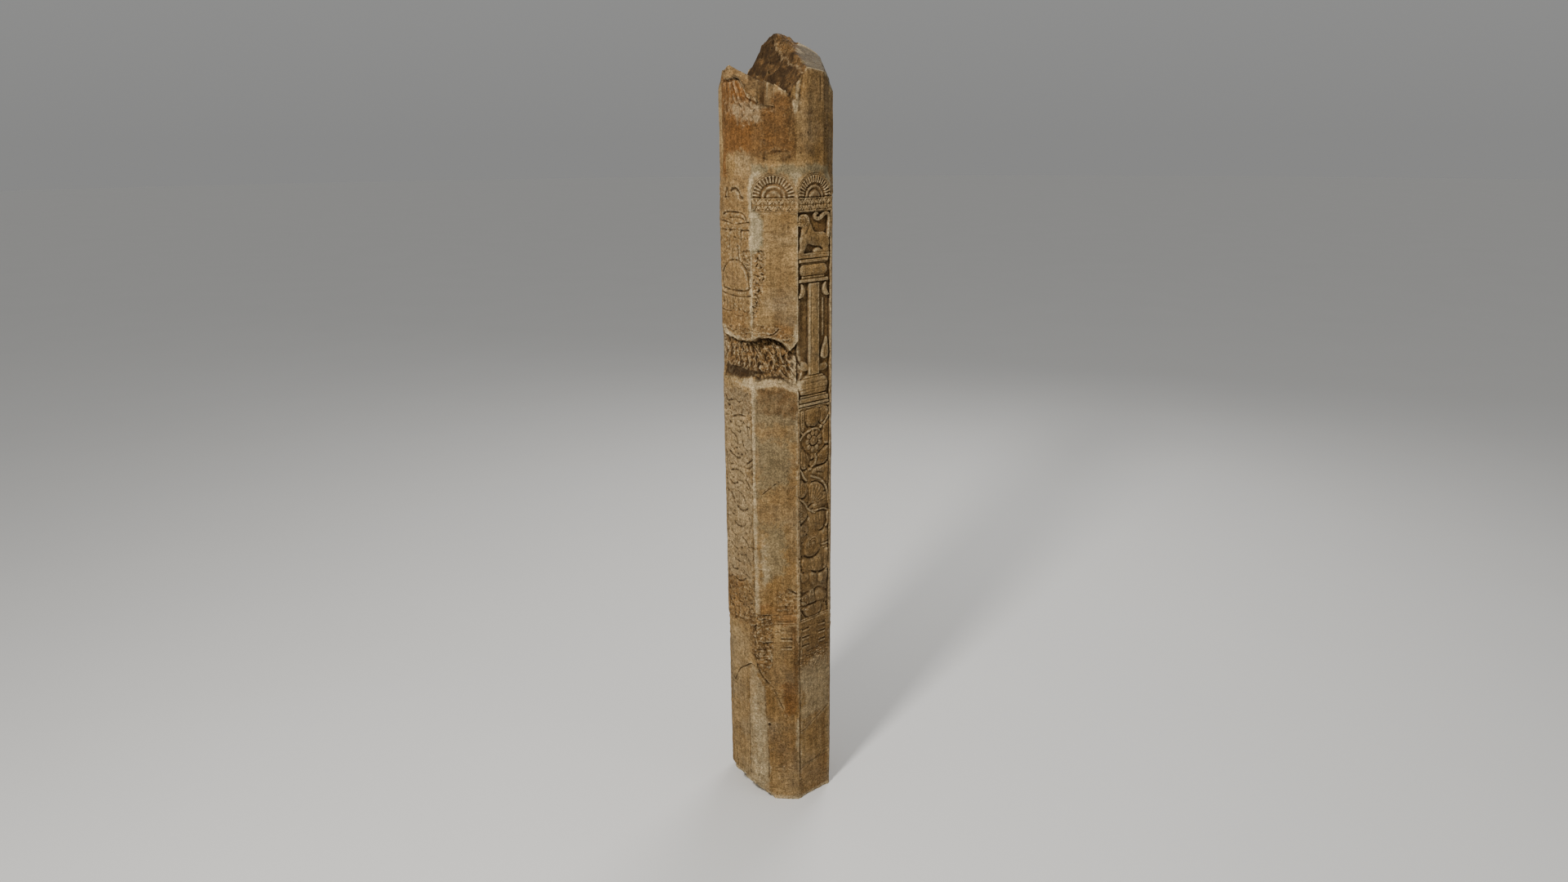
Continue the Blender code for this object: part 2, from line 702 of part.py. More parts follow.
def carve_faces(target, collection):
    bars = ((-25, -53), (24, 49))
    lotus, plain_lotus = half_lotus(PETALS), half_lotus(PLAIN_PETALS, PLAIN_STEPS)
    band, plain_band = flower_band(BAND_FLOWERS), flower_band(PLAIN_BAND_FLOWERS)
    wheel_centre, wheel_radius = LION.at(-2, 60), min(LION_HEIGHT / 2, HALF_FACE) * 0.92
    disc = circle(wheel_centre, wheel_radius, 2 * ARC_STEPS)
    carve(target, "lotus_0", 0, lotus + band, LOTUS_DEPTH, collection)
    carve(target, "railing_0", 0, railing_lines(((12, 47),)), SCROLL_DEPTH, collection)
    carve(target, "lotus_1", 1, lotus + band, LOTUS_DEPTH, collection)
    carve(target, "lion_panel", 1, pillar_panel(lion()), PANEL_DEPTH, collection)
    carve(target, "lion_lines", 1, lion_lines() + column_lines(), WORN_DEPTH, collection)
    carve(target, "scroll", 1, scroll_lines() + railing_lines(bars), SCROLL_DEPTH, collection)
    ring = half_ring(BAND.at(-6, 30), LOTUS_RADIUS * 0.53, LOTUS_RADIUS * 0.085, 10, 165)
    carve(target, "worn_ring", -1, [ring], SCROLL_DEPTH, collection)
    worn = stupa_lines() + worn_scroll_lines()
    carve(target, "stupa", -1, worn, WORN_DEPTH, collection)
    for face in (2, 4, 6):
        loops = plain_lotus + plain_band + railing_lines(bars)
        carve(target, f"lotus_{face}", face, loops, SCROLL_DEPTH, collection)
    carve(target, "lotus_3", 3, plain_lotus + plain_band, LOTUS_DEPTH, collection)
    carve(target, "wheel_panel", 3, pillar_panel(disc), PANEL_DEPTH, collection)
    carve(target, "wheel", 3, wheel(wheel_centre, wheel_radius), SCROLL_DEPTH, collection)
    carve(target, "creeper_3", 3, creeper_lines() + railing_lines(bars), SCROLL_DEPTH, collection)
    carve(target, "lotus_5", 5, plain_lotus + plain_band + stupa_lines(), LOTUS_DEPTH, collection)
    carve(target, "creeper_5", 5, creeper_lines() + railing_lines(bars), SCROLL_DEPTH, collection)


def build():
    clear_scene()
    parts = new_collection("stupa_railing_pillar")
    cutters = new_collection("cutters")
    pillar = add_object("railing_pillar", prism(), parts)
    pillar.data.materials.append(stone_material())
    cut_head_to_sixteen(pillar, cutters)
    break_head(pillar, cutters)
    wear_arrises(pillar, cutters)
    carve_faces(pillar, cutters)
    break_notch(pillar, cutters)
    break_foot(pillar, cutters)


build()
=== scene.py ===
"""The looks of the stupa railing pillar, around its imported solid.

The stone is one mesh: a grid wrapped round the shaft, whose points are moved by
what is carved, worn and broken there, closed by the broken head and the flat
underside, and then thinned. Lengths are in millimetres until the mesh is made.

Places on the shaft are (u, z): u runs along a face from its middle, to the
viewer's right, and z is the height above the foot. Faces are numbered by
eighths of a turn from the plain front face: 1 is the face with the lion, -1 the
face with the stupa.
"""

from math import cos, hypot, pi, radians, sin, tan

import bpy
import numpy as np
from mathutils import Matrix, Vector


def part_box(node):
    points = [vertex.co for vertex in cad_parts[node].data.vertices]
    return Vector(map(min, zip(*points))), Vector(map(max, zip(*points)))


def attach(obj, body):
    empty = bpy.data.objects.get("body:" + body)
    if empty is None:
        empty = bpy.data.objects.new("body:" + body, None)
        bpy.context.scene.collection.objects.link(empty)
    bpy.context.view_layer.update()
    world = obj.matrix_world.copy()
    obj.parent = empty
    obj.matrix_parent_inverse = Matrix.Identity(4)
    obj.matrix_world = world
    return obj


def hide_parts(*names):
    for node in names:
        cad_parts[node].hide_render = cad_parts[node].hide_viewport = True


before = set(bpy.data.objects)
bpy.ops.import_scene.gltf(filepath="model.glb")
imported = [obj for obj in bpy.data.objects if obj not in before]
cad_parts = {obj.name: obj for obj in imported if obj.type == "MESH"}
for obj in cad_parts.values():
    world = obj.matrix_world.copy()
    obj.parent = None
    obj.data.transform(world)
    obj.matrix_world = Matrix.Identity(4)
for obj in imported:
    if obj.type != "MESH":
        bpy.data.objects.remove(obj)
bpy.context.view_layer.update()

MM = 0.001
NODE = "railing_pillar"
LOW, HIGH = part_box(NODE)

# The eight-sided section
SIDES = 8
EIGHTH = 2 * pi / SIDES
INRADIUS = (HIGH.x - LOW.x) / 2 / MM
ARRIS_RADIUS = INRADIUS / cos(EIGHTH / 2)
FACE_WIDTH = 2 * INRADIUS * tan(EIGHTH / 2)
HALF_FACE = FACE_WIDTH / 2
FACES = range(-3, 5)
SHOWN_FACES = (-1, 0, 1)

# Heights of the registers, from the foot up
RAIL_LOW, RAIL_TOP = 548, 663
SCROLL_TOP = 1378
PANEL_LOW = 1378
BAND_LOW, BAND_TOP = 1976, 2017
SPANDREL_LOW = 2042
HEAD_LOW = BAND_TOP + HALF_FACE
HEAD_HEIGHT = 412

# The grid: its steps on shown and other faces, its steps up the shaft, and the heights
# between which its rows are level
FINE, COARSE = ((1.65, 3.0))
ROW_STEP = 1.7
LEVEL_LOW, LEVEL_TOP = 84, 2100
END_STEP = 2.4
MOST_FACES = 192000


def smooth(share):
    """Rises from 0 to 1, level at both ends."""
    share = np.clip(share, 0, 1)
    return share * share * (3 - 2 * share)


def mound(share):
    """Falls from 1 in the middle to 0 at a share of 1."""
    return np.clip(1 - share**2, 0, 1)


# Noise


def noise(x, y, z, size, seed):
    """Smooth noise from -1 to 1 with bumps about size across, at given points."""
    cells = 32
    table = np.random.default_rng(seed).uniform(-1, 1, (cells, cells, cells)).astype(np.float32)
    x, y, z = np.broadcast_arrays(x, y, z)
    whole, part = [], []
    for axis in (x, y, z):
        scaled = axis / size
        low = np.floor(scaled)
        whole.append(low.astype(int))
        part.append(smooth(scaled - low))
    total = np.zeros(x.shape)
    for corner in range(8):
        weight = 1
        index = []
        for axis in range(3):
            step = corner >> axis & 1
            weight = weight * (part[axis] if step else 1 - part[axis])
            index.append((whole[axis] + step) % cells)
        total += weight * table[tuple(index)]
    return total


def rough(x, y, z, size, seed, layers=3):
    """Noise with finer and fainter layers on top."""
    total = 0
    for layer in range(layers):
        total = total + noise(x, y, z, size / 2.1**layer, seed + layer) / 2**layer
    return total


def facets(x, y, size, seed):
    """Flat breaks of many tilts about size across, from about -1 to 1."""
    cells = 64
    table = np.random.default_rng(seed).uniform(-1, 1, (5, cells, cells)).astype(np.float32)
    x, y = x / size, y / size
    x, y = np.broadcast_arrays(x, y)
    low_x, low_y = np.floor(x).astype(int), np.floor(y).astype(int)
    nearest = np.full(x.shape, 1e9)
    level = np.zeros(x.shape)
    for step_x in (-1, 0, 1):
        for step_y in (-1, 0, 1):
            cell_x, cell_y = low_x + step_x, low_y + step_y
            index = (cell_x % cells, cell_y % cells)
            away_x = x - cell_x - 0.5 - 0.48 * table[0][index]
            away_y = y - cell_y - 0.5 - 0.48 * table[1][index]
            distance = away_x**2 + away_y**2
            plane = 0.45 * table[2][index] + 0.8 * (table[3][index] * away_x + table[4][index] * away_y)
            level = np.where(distance < nearest, plane, level)
            nearest = np.minimum(nearest, distance)
    return level


# Paths and distances on a face


def bend(points, closed=False, steps=5):
    """A smooth path through some points."""
    points = [np.array(point, float) for point in points]
    count = len(points)
    path = []
    for index in range(count if closed else count - 1):
        around = [index - 1, index, index + 1, index + 2]
        if closed:
            around = [number % count for number in around]
        else:
            around = [min(max(number, 0), count - 1) for number in around]
        a, b, c, d = (points[number] for number in around)
        for step in range(steps):
            t = step / steps
            path.append(tuple(0.5 * (2 * b + (c - a) * t + (2 * a - 5 * b + 4 * c - d) * t * t
                                     + (3 * b - a - 3 * c + d) * t**3)))
    if not closed:
        path.append(tuple(points[-1]))
    return path


def arc(centre, radius, start, end, steps=16):
    """Points of an arc, with its angles in degrees."""
    turns = [radians(start + (end - start) * step / steps) for step in range(steps + 1)]
    return [(centre[0] + radius * cos(turn), centre[1] + radius * sin(turn)) for turn in turns]


def box(left, low, right, high):
    """The corners of a rectangle, from two that face each other."""
    return [(left, low), (right, low), (right, high), (left, high)]


def path_distance(u, z, path):
    best = np.full(np.broadcast(u, z).shape, 1e9)
    for (u0, z0), (u1, z1) in zip(path, path[1:]):
        run, rise = u1 - u0, z1 - z0
        share = np.clip(((u - u0) * run + (z - z0) * rise) / (run * run + rise * rise + 1e-9), 0, 1)
        best = np.minimum(best, np.hypot(u - u0 - share * run, z - z0 - share * rise))
    return best


def depth_inside(u, z, outline):
    """Distance to an outline, positive inside it."""
    within = np.zeros(np.broadcast(u, z).shape, bool)
    closed = list(outline) + [outline[0]]
    for (u0, z0), (u1, z1) in zip(closed, closed[1:]):
        if z0 != z1:
            within ^= ((z0 <= z) != (z1 <= z)) & (u < u0 + (z - z0) * (u1 - u0) / (z1 - z0))
    distance = path_distance(u, z, closed)
    return np.where(within, distance, -distance)


class Face:
    """The level of one face of the shaft: 0 on its plane, negative where it is cut back."""

    def __init__(self, number, u, z):
        self.number = number
        self.u = u
        self.z = z
        self.level = np.zeros((len(z), len(u)))
        # By how much the depth of the grooves varies, and how wide they have worn
        self.uneven = 0.25
        self.softness = 1.0

    def near(self, points, reach):
        """The part of the level grid round some points, with its u and z."""
        us, zs = np.array(points).T
        columns = slice(*np.searchsorted(self.u, (us.min() - reach, us.max() + reach)))
        rows = slice(*np.searchsorted(self.z, (zs.min() - reach, zs.max() + reach)))
        return self.level[rows, columns], self.u[None, columns], self.z[rows, None]

    def engrave(self, path, width=3.8, depth=3.0):
        """A groove along a path."""
        width = width * self.softness
        level, u, z = self.near(path, width * 1.1)
        share = mound(path_distance(u, z, path) / (width * 0.9))
        level -= depth * share**1.2 * self.hand(u, z)

    def hand(self, u, z):
        """An uneven hand: by how much each groove is deeper or shallower along its way."""
        return np.clip(1 + self.uneven * rough(u + 300.0 * self.number, 0.0, z, 16, 91, 2), 0.1, 1.6)

    def line(self, *points, width=3.4, depth=3.0):
        """A groove along a smooth path through the points."""
        self.engrave(bend(points), width, depth)

    def lines(self, grooves, scale=1.0):
        """Grooves along smooth paths: the width, depth and points of each."""
        for width, depth, *points in grooves:
            self.line(*points, width=width, depth=depth * scale)

    def hatch(self, count, width, depth, *points):
        """Grooves side by side: each point is u, z and their steps from groove to groove."""
        for index in range(count):
            path = [(u + step_u * index, z + step_z * index) for u, z, step_u, step_z in points]
            self.line(*path, width=width, depth=depth)

    def rib(self, points, width, height):
        """A raised rib along a smooth path."""
        path = bend(points)
        level, u, z = self.near(path, width)
        level += height * mound(path_distance(u, z, path) / (width / 2))

    def stem(self, points, width=5, depth=3.0):
        """A stem: a rib between two grooves."""
        path = bend(points)
        level, u, z = self.near(path, width + 3)
        across = path_distance(u, z, path)
        level -= depth * mound((across - width / 2 - 0.8) / 1.8)
        level += 0.5 * mound(across / (width / 2))

    def tube(self, path, width, ground, top=0.0, crown=3.0):
        """Leaves a rounded stem along a path standing from the ground of a sunk panel."""
        level, u, z = self.near(path, width)
        share = mound(path_distance(u, z, path) / (width / 2))
        form = -top - crown * (1 - np.sqrt(share)) * (share > 0)
        raised = -ground + smooth(share * 2.5) * (ground + form)
        level[:] = np.where(share > 0, np.maximum(level, raised), level)

    def sink(self, outline, depth, edge=1.6):
        """Cuts the face back inside an outline."""
        level, u, z = self.near(outline, edge)
        level[:] = np.minimum(level, -depth * smooth(depth_inside(u, z, outline) / edge + 0.5))

    def mount(self, outline, ground, top=0.0, edge=1.8, crown=0.0, spread=12):
        """Leaves a form standing from the ground of a sunk panel. Its crown falls towards
        its outline over the spread."""
        level, u, z = self.near(outline, edge)
        inside = depth_inside(u, z, outline)
        rise = smooth(inside / edge + 0.5)
        fall = crown * (1 - np.clip(inside / spread, 0, 1))**2
        level[:] = np.maximum(level, -ground + rise * (ground - top - fall))

    def carve(self, outline, depth, edge=1.6):
        """Cuts an outline deeper into what is there."""
        level, u, z = self.near(outline, edge)
        level -= depth * smooth(depth_inside(u, z, outline) / edge + 0.5) * self.hand(u, z)

    def swell(self, outline, height, spread=10):
        """A low swelling inside an outline."""
        level, u, z = self.near(outline, 1)
        level += height * smooth(np.clip(depth_inside(u, z, outline), 0, None) / spread)

    def pit(self, centre, radius, depth):
        level, u, z = self.near([centre], radius * 1.2)
        level -= depth * np.clip(1 - ((u - centre[0])**2 + (z - centre[1])**2) / radius**2, 0, 1)

    def pits(self, centres, radius, depth):
        for centre in centres:
            self.pit(centre, radius, depth)

    def wear(self, outline, keep, edge=20):
        """Rubs the carving down inside an outline."""
        level, u, z = self.near(outline, edge)
        share = smooth(depth_inside(u, z, outline) / edge + 0.5)
        level *= 1 - share * (1 - keep)


# What is carved on every face


def around(centre, radius, turn):
    return (centre[0] + radius * cos(turn), centre[1] + radius * sin(turn))


def half_lotus(face, petals, depth=4.5):
    """Rim, petals, ring and boss of a half lotus."""
    middle = (0, BAND_TOP)
    face.engrave(arc(middle, 69.5, 2, 178, 40), 2.2, depth * 0.45)
    face.engrave(arc(middle, 65.0, 2, 178, 40), 2.6, depth * 0.6)
    pitch = radians(174) / petals
    for index in range(petals + 1):
        turn = radians(3) + pitch * index
        inner, outer = pitch * 0.14, pitch * 0.27
        corners = ((42.5, -inner), (60, -outer), (63, 0), (60, outer), (42.5, inner))
        face.carve([around(middle, radius, turn + lean) for radius, lean in corners], depth * 0.85, 2.0)
    for index in range(petals):
        turn = radians(3) + pitch * (index + 0.5)
        face.rib([around(middle, 44, turn), around(middle, 60, turn)], 7.0, 0.8)
    face.engrave(arc(middle, 39.5, 1, 179, 36), 6.0, depth * 1.2)
    face.carve(arc(middle, 37, 0, 180, 24), depth * 0.30, 3.0)
    face.engrave(arc(middle, 25.0, 1, 179, 24), 5.4, depth * 0.8)
    face.swell(arc(middle, 22.5, 0, 180, 24), 2.4, 6)
    face.engrave([(-HALF_FACE + 4, BAND_TOP), (HALF_FACE - 4, BAND_TOP)], 2.6, depth * 0.7)


def flower_band(face, flowers, depth=3.4):
    """A band of crossing petals between two fillets."""
    side = HALF_FACE - 4
    middle = (BAND_LOW + BAND_TOP) / 2
    half = (BAND_TOP - BAND_LOW) / 2 - 4
    face.engrave([(-side, BAND_LOW + 1), (side, BAND_LOW + 1)], 2.6, depth * 0.8)
    pitch = 2 * side / flowers
    face.sink(box(-side, middle - half, side, middle + half), depth, 1.4)
    for index in range(flowers):
        centre = -side + pitch * (index + 0.5)
        for across in (-1, 1):
            for up in (-1, 1):
                tip = (centre + across * pitch * 0.5, middle + up * half)
                petal_form(face, (centre + across, middle + up), tip, 8.5, depth)
        for up in (-1, 1):
            tip = (centre + pitch / 2, middle + up * half * 0.8)
            petal_form(face, (centre + pitch / 2, middle), tip, 5.0, depth)
            petal_form(face, (centre, middle + up * half * 0.5), (centre, middle + up * half), 5.0, depth)


def petal_form(face, root, tip, width, ground):
    """A pointed petal with a line along its middle."""
    run, rise = tip[0] - root[0], tip[1] - root[1]
    length = hypot(run, rise)
    side_u, side_z = -rise / length * width / 2, run / length * width / 2
    shape = ((0, 0.15), (0.25, 0.8), (0.5, 1.0), (0.75, 0.8), (1.0, 0.1))
    outline = [(root[0] + run * share + side_u * swell, root[1] + rise * share + side_z * swell)
               for share, swell in shape]
    outline += [(root[0] + run * share - side_u * swell, root[1] + rise * share - side_z * swell)
                for share, swell in reversed(shape)]
    face.mount(outline, ground, 0.2, 1.6)
    face.engrave([root, tip], 1.8, 1.2)


# The railing's crossbars: their spans left and right of its post, their tops
BAR_SPANS = ((-55, -24), (18, 49))
BAR_TOPS = (632, 603, 573)


def railing(face, spans=BAR_SPANS, depth=3.4):
    """A little railing: coping, posts and three crossbars."""
    low_u, high_u = spans[0][0] - 8, spans[-1][1] + 10
    face.engrave([(low_u, RAIL_TOP), (high_u, RAIL_TOP + 1)], 3.4, depth * 0.7)
    face.rib([(low_u, RAIL_TOP - 4), (high_u, RAIL_TOP - 3)], 4, 1.0)
    face.engrave([(low_u, 636), (high_u, 637)], 2.8, depth * 0.4)
    face.engrave([(low_u, RAIL_LOW + 1), (high_u, RAIL_LOW)], 3.0, depth * 0.5)
    for left, right in spans:
        for edge in (left, right):
            face.engrave([(edge, 634), (edge, RAIL_LOW + 6)], 2.4, depth * 0.22)
        for height in BAR_TOPS:
            face.carve(box(left, height - 3, right, height + 2), depth, 2.2)
            face.carve(box(left, height - 22, right, height - 10), depth * 0.3, 4.0)
            face.rib([(left, height - 6), (right, height - 6)], 4.5, 1.2)


# The face with the lion

PANEL_GROUND = 9.0

# The lion's forms: how far below the face each lies, its crown, the crown's spread, points
LION_FORMS = (
    # body
    (0.8, 3.2, 15, (-30, 1958), (-20, 1952), (-12, 1938), (-4, 1924), (5, 1916), (20, 1914), (38, 1914),
     (50, 1908), (55, 1895), (50, 1880), (30, 1871), (5, 1874), (-22, 1881), (-40, 1880), (-55, 1884),
     (-57, 1896), (-52, 1912), (-50, 1925), (-46, 1940)),
    # haunch
    (0.2, 3.4, 14, (34, 1912), (49, 1909), (59, 1900), (64, 1886), (62, 1872), (54, 1864), (42, 1862),
     (32, 1868), (27, 1880), (27, 1897)),
    # hind foot
    (0.8, 3.0, 8, (0, 1854), (30, 1853), (59, 1853), (63, 1862), (59, 1872), (44, 1868), (34, 1862),
     (26, 1867), (12, 1869), (2, 1864)),
    # foreleg
    (0.3, 3.0, 9, (-54, 1905), (-38, 1900), (-27, 1884), (-33, 1872), (-41, 1857), (-45, 1852), (-67, 1852),
     (-68, 1858), (-61, 1865), (-59, 1878), (-61, 1890)),
    # head with its mane
    (0.0, 2.6, 9, (-68, 1948), (-64, 1961), (-52, 1968), (-38, 1969), (-26, 1965), (-20, 1956), (-19, 1943),
     (-26, 1932), (-38, 1927), (-48, 1929), (-56, 1933), (-66, 1935), (-69, 1941)),
)
LION_TAIL = ((57, 1900), (61, 1920), (62, 1945), (59, 1962), (48, 1969), (36, 1964), (24, 1955), (12, 1954),
             (4, 1959), (4, 1967), (10, 1968))
LION_LINES = (
    # brow and muzzle
    (2.8, 2.2, (-69, 1945), (-60, 1947), (-54, 1944)),
    (2.4, 1.8, (-68, 1939), (-60, 1940), (-54, 1937)),
    # shoulder
    (4, 1.8, (-20, 1938), (-26, 1924), (-36, 1912), (-48, 1906)),
)


def lion(face):
    """The lion that stands on the capital and looks left, with its raised tail."""
    for top, crown, spread, *points in LION_FORMS:
        face.mount(bend(points, True, 4), PANEL_GROUND, top, 2.4, crown, spread)
    face.tube(bend(LION_TAIL, steps=6), 13, PANEL_GROUND, 0.2, 3.0)
    face.pit((10.5, 1964.5), 5, 5.0)
    face.lines(LION_LINES)
    # Eye and the locks of the mane
    head = (-46, 1949)
    face.pit((-57, 1953), 3.6, 2.6)
    face.engrave(arc(head, 12, -80, 120, 14), 2.4, 1.6)
    for turn in range(-80, 121, 20):
        ray = radians(turn)
        face.engrave([around(head, 13, ray), around(head, 20, ray + 0.25)], 2.4, 1.8)
    # Ribs, toes of the forefoot and of the hind foot
    face.hatch(4, 3.6, 0.8, (-10, 1908, 9, 0), (-7, 1894, 9, 0), (-9, 1882, 9, 0))
    face.hatch(2, 2.2, 1.4, (-64, 1861, 7, 0), (-63, 1853, 7, 0))
    face.hatch(2, 2.2, 1.2, (4, 1864, 8, 0), (3, 1855, 8, 0))
    # Tool marks of the ground
    for step in range(5):
        face.engrave([(-38 + 1.5 * step, 1857 + 4 * step), (4, 1857 + 3.2 * step)], 1.8, 0.8)


def capital(face, centre=-2.0):
    """Abacus, bell and ring of a column."""
    base = 1766
    for low, high, half, top in ((73, 88, 64, 0.6), (60, 71, 60, 1.2), (55, 59, 50, 3.4), (12, 20, 46, 3.2),
                                 (1, 11, 60, 0.8)):
        outline = box(centre - half, base + low, centre + half, base + high)
        face.mount(outline, PANEL_GROUND, top, 1.8, 1.6, 4)
    cushion = arc((centre + 40, base + 38), 17, -90, 90, 12)
    cushion += arc((centre - 40, base + 38), 17, 90, 270, 12)
    face.mount(cushion, PANEL_GROUND, 0.2, 2.2, 4.0, 13)
    face.engrave([(centre - 62, base + 81), (centre + 62, base + 82)], 2.2, 1.2)
    face.engrave([(centre - 62, base + 77), (centre + 62, base + 77)], 1.8, 0.8)
    for height in (27, 49):
        face.engrave([(centre - 46, base + height), (centre + 46, base + height)], 2.0, 0.9)
    for index in range(9):
        u = centre - 44 + index * 11
        face.engrave([(u, base + 26), (u, base + 50)], 2.0, 0.4)
    for index in range(13):
        u = centre - 42 + index * 7
        face.engrave([(u, base + 12), (u, base + 20)], 1.8, 0.9)


# The bud right of the column's head, which is mirrored on its left
BUD = ((50, 1765), (41, 1758), (35, 1746), (37, 1732), (47, 1723), (60, 1721), (63, 1726), (54, 1738),
       (51, 1752))
BUD_SPINE = ((48, 1760), (43, 1742), (54, 1726))


def carved_column(face):
    """The shaft with its chamfers, the buds, ridge and leaf beside it."""
    shaft = [(-24, 1481), (20, 1481), (20, 1764), (-22, 1764)]
    face.mount(shaft, PANEL_GROUND, 0.3, 2.2, 1.2, 6)
    face.engrave([(-14, 1490), (-13, 1758)], 2.6, 1.3)
    face.engrave([(14, 1490), (14, 1758)], 2.2, 1.2)
    face.line((-14, 1648), (-4, 1622), (2, 1600), (6, 1570), width=2.0, depth=0.8)
    face.pits(((-23, 1702), (-23, 1658), (20, 1690), (21, 1610)), 4.5, 3.5)
    for side in (1, -1):
        bud, spine = ([(u if side > 0 else -u - 2, z) for u, z in path] for path in (BUD, BUD_SPINE))
        face.mount(bend(bud, True, 3), PANEL_GROUND, 0.4, 2.0, 2.4, 7)
        face.engrave(bend(spine), 1.8, 1.0)
    leaf = [(54, 1594), (60, 1560), (60, 1534), (46, 1525), (32, 1530), (28, 1543), (38, 1566)]
    leaf = bend(leaf, True, 3)
    face.mount(leaf, PANEL_GROUND, 0.4, 2.0, 2.2, 8)
    face.line((54, 1590), (46, 1560), (42, 1532), width=2.2, depth=1.2)
    face.mount(box(36, 1598, 43, 1716), PANEL_GROUND, 5.5, 3.0)
    face.mount(box(-62, 1600, -56, 1716), PANEL_GROUND, 6.5, 4.0)
    stones = (
        (3.5, (-14, 1500), (-34, 1496), (-52, 1502), (-56, 1524), (-36, 1524), (-22, 1512)),
        (4.5, (20, 1508), (34, 1512), (54, 1510), (60, 1496), (40, 1488), (22, 1492)),
    )
    for top, *points in stones:
        face.mount(bend(points, True, 3), PANEL_GROUND, top, 5)


def vase_and_steps(face):
    """The ribbed pot that the column stands in, on its steps."""
    vase = [(-50, 1421), (-2, 1419), (46, 1421), (55, 1432), (59, 1447), (55, 1462), (42, 1474), (26, 1480),
            (-28, 1481), (-45, 1474), (-56, 1462), (-60, 1447), (-57, 1431)]
    face.mount(bend(vase, True, 3), PANEL_GROUND, 0.3, 2.2, 4.0, 14)
    for height, depth in ((1472, 2.4), (1457, 1.6), (1437, 1.8), (1447, 0.8), (1428, 0.8)):
        face.line((-56, height - 1), (0, height), (54, height), width=2.6, depth=depth)
    for low, high, half, top in ((1412, 1417, 56, 2.4), (1396, 1410, 62, 0.8), (1384, 1394, 64, 0.6)):
        face.mount(box(-2 - half, low, -2 + half, high), PANEL_GROUND, top, 1.6, 1.0, 3)
    face.line((-58, 1404), (0, 1402), (56, 1403), width=2.2, depth=1.0)


# Raised forms of the scroll, from the top down: crown, its spread, outline
SCROLL_FORMS = (
    # hanging shield, the leaves beside it, the field right of the rosette
    (2.6, 15, (-34, 1372), (-38, 1352), (-35, 1332), (-22, 1318), (0, 1313), (14, 1319), (23, 1333),
     (26, 1352), (21, 1372), (-6, 1374)),
    (2.2, 9, (-62, 1371), (-65, 1348), (-60, 1320), (-50, 1305), (-44, 1312), (-42, 1335), (-43, 1371)),
    (2.4, 12, (26, 1372), (30, 1350), (27, 1328), (36, 1325), (48, 1335), (58, 1348), (61, 1362),
     (54, 1372)),
    (1.6, 10, (40, 1312), (52, 1318), (63, 1330), (64, 1290), (63, 1252), (50, 1248), (40, 1262),
     (36, 1285)),
    # leaves below the rosette
    (2.8, 15, (-60, 1256), (-50, 1246), (-38, 1233), (-25, 1222), (-20, 1207), (-26, 1191), (-40, 1181),
     (-53, 1181), (-61, 1193), (-64, 1215), (-64, 1240)),
    (2.6, 14, (10, 1215), (24, 1226), (44, 1238), (61, 1241), (64, 1215), (61, 1200), (48, 1187),
     (24, 1185), (9, 1189), (5, 1201)),
    (2.2, 12, (-4, 1173), (20, 1179), (48, 1181), (63, 1186), (64, 1140), (60, 1112), (50, 1126),
     (30, 1144), (10, 1154), (-8, 1160)),
    # left leaf and fan
    (2.8, 13, (-54, 1148), (-40, 1136), (-31, 1122), (-29, 1106), (-38, 1091), (-54, 1087), (-65, 1096),
     (-67, 1120), (-64, 1140)),
    (2.8, 18, (-14, 1129), (10, 1127), (31, 1117), (45, 1101), (53, 1084), (57, 1060), (50, 1044),
     (34, 1037), (10, 1037), (-3, 1046), (-10, 1062), (-18, 1080), (-20, 1105)),
    # lower leaf, big round leaf, stone left of it
    (2.6, 12, (-66, 1078), (-54, 1069), (-42, 1054), (-32, 1036), (-31, 1021), (-44, 1006), (-58, 1001),
     (-67, 1012), (-69, 1045)),
    (3.0, 18, (-20, 1034), (0, 1024), (24, 1026), (45, 1022), (51, 1004), (50, 984), (42, 967), (28, 962),
     (10, 968), (-10, 976), (-24, 992), (-29, 1012)),
    (2.0, 10, (-66, 994), (-50, 995), (-34, 990), (-26, 976), (-37, 960), (-54, 957), (-65, 968)),
    # medallion over its bowl, the piece right of it
    (3.0, 14, (-40, 910), (-37, 932), (-24, 948), (-5, 953), (14, 948), (27, 932), (30, 912), (24, 894),
     (2, 882), (-20, 880), (-36, 889)),
    (2.0, 10, (36, 956), (60, 958), (64, 925), (60, 899), (40, 897), (35, 912), (37, 936)),
    # leaf under the bowl, the shapes above the pot
    (2.8, 16, (-50, 879), (-30, 873), (-5, 871), (20, 877), (33, 868), (38, 850), (34, 832), (22, 820),
     (0, 825), (-20, 833), (-44, 842), (-55, 860)),
    (2.0, 8, (46, 890), (61, 892), (64, 852), (58, 828), (48, 820), (43, 826), (45, 852)),
    (2.2, 9, (-60, 834), (-46, 826), (-30, 824), (-24, 811), (-31, 799), (-50, 797), (-60, 810)),
    (2.4, 10, (-14, 824), (2, 819), (13, 807), (8, 786), (-4, 777), (-16, 788), (-20, 808)),
    (2.4, 11, (24, 810), (42, 811), (55, 822), (62, 808), (61, 790), (50, 772), (31, 773), (20, 790)),
    # handles, neck and body of the pot
    (3.2, 9, (-56, 738), (-50, 749), (-37, 751), (-27, 744), (-25, 724), (-34, 713), (-48, 714),
     (-57, 724)),
    (3.2, 10, (6, 744), (14, 752), (30, 750), (46, 740), (56, 726), (48, 715), (30, 713), (11, 719)),
    (2.0, 8, (-20, 760), (-2, 762), (2, 740), (1, 718), (-20, 717), (-22, 740)),
    (3.2, 16, (-46, 705), (-20, 711), (10, 711), (39, 705), (37, 690), (31, 675), (20, 669), (-24, 669),
     (-37, 676), (-44, 690)),
)
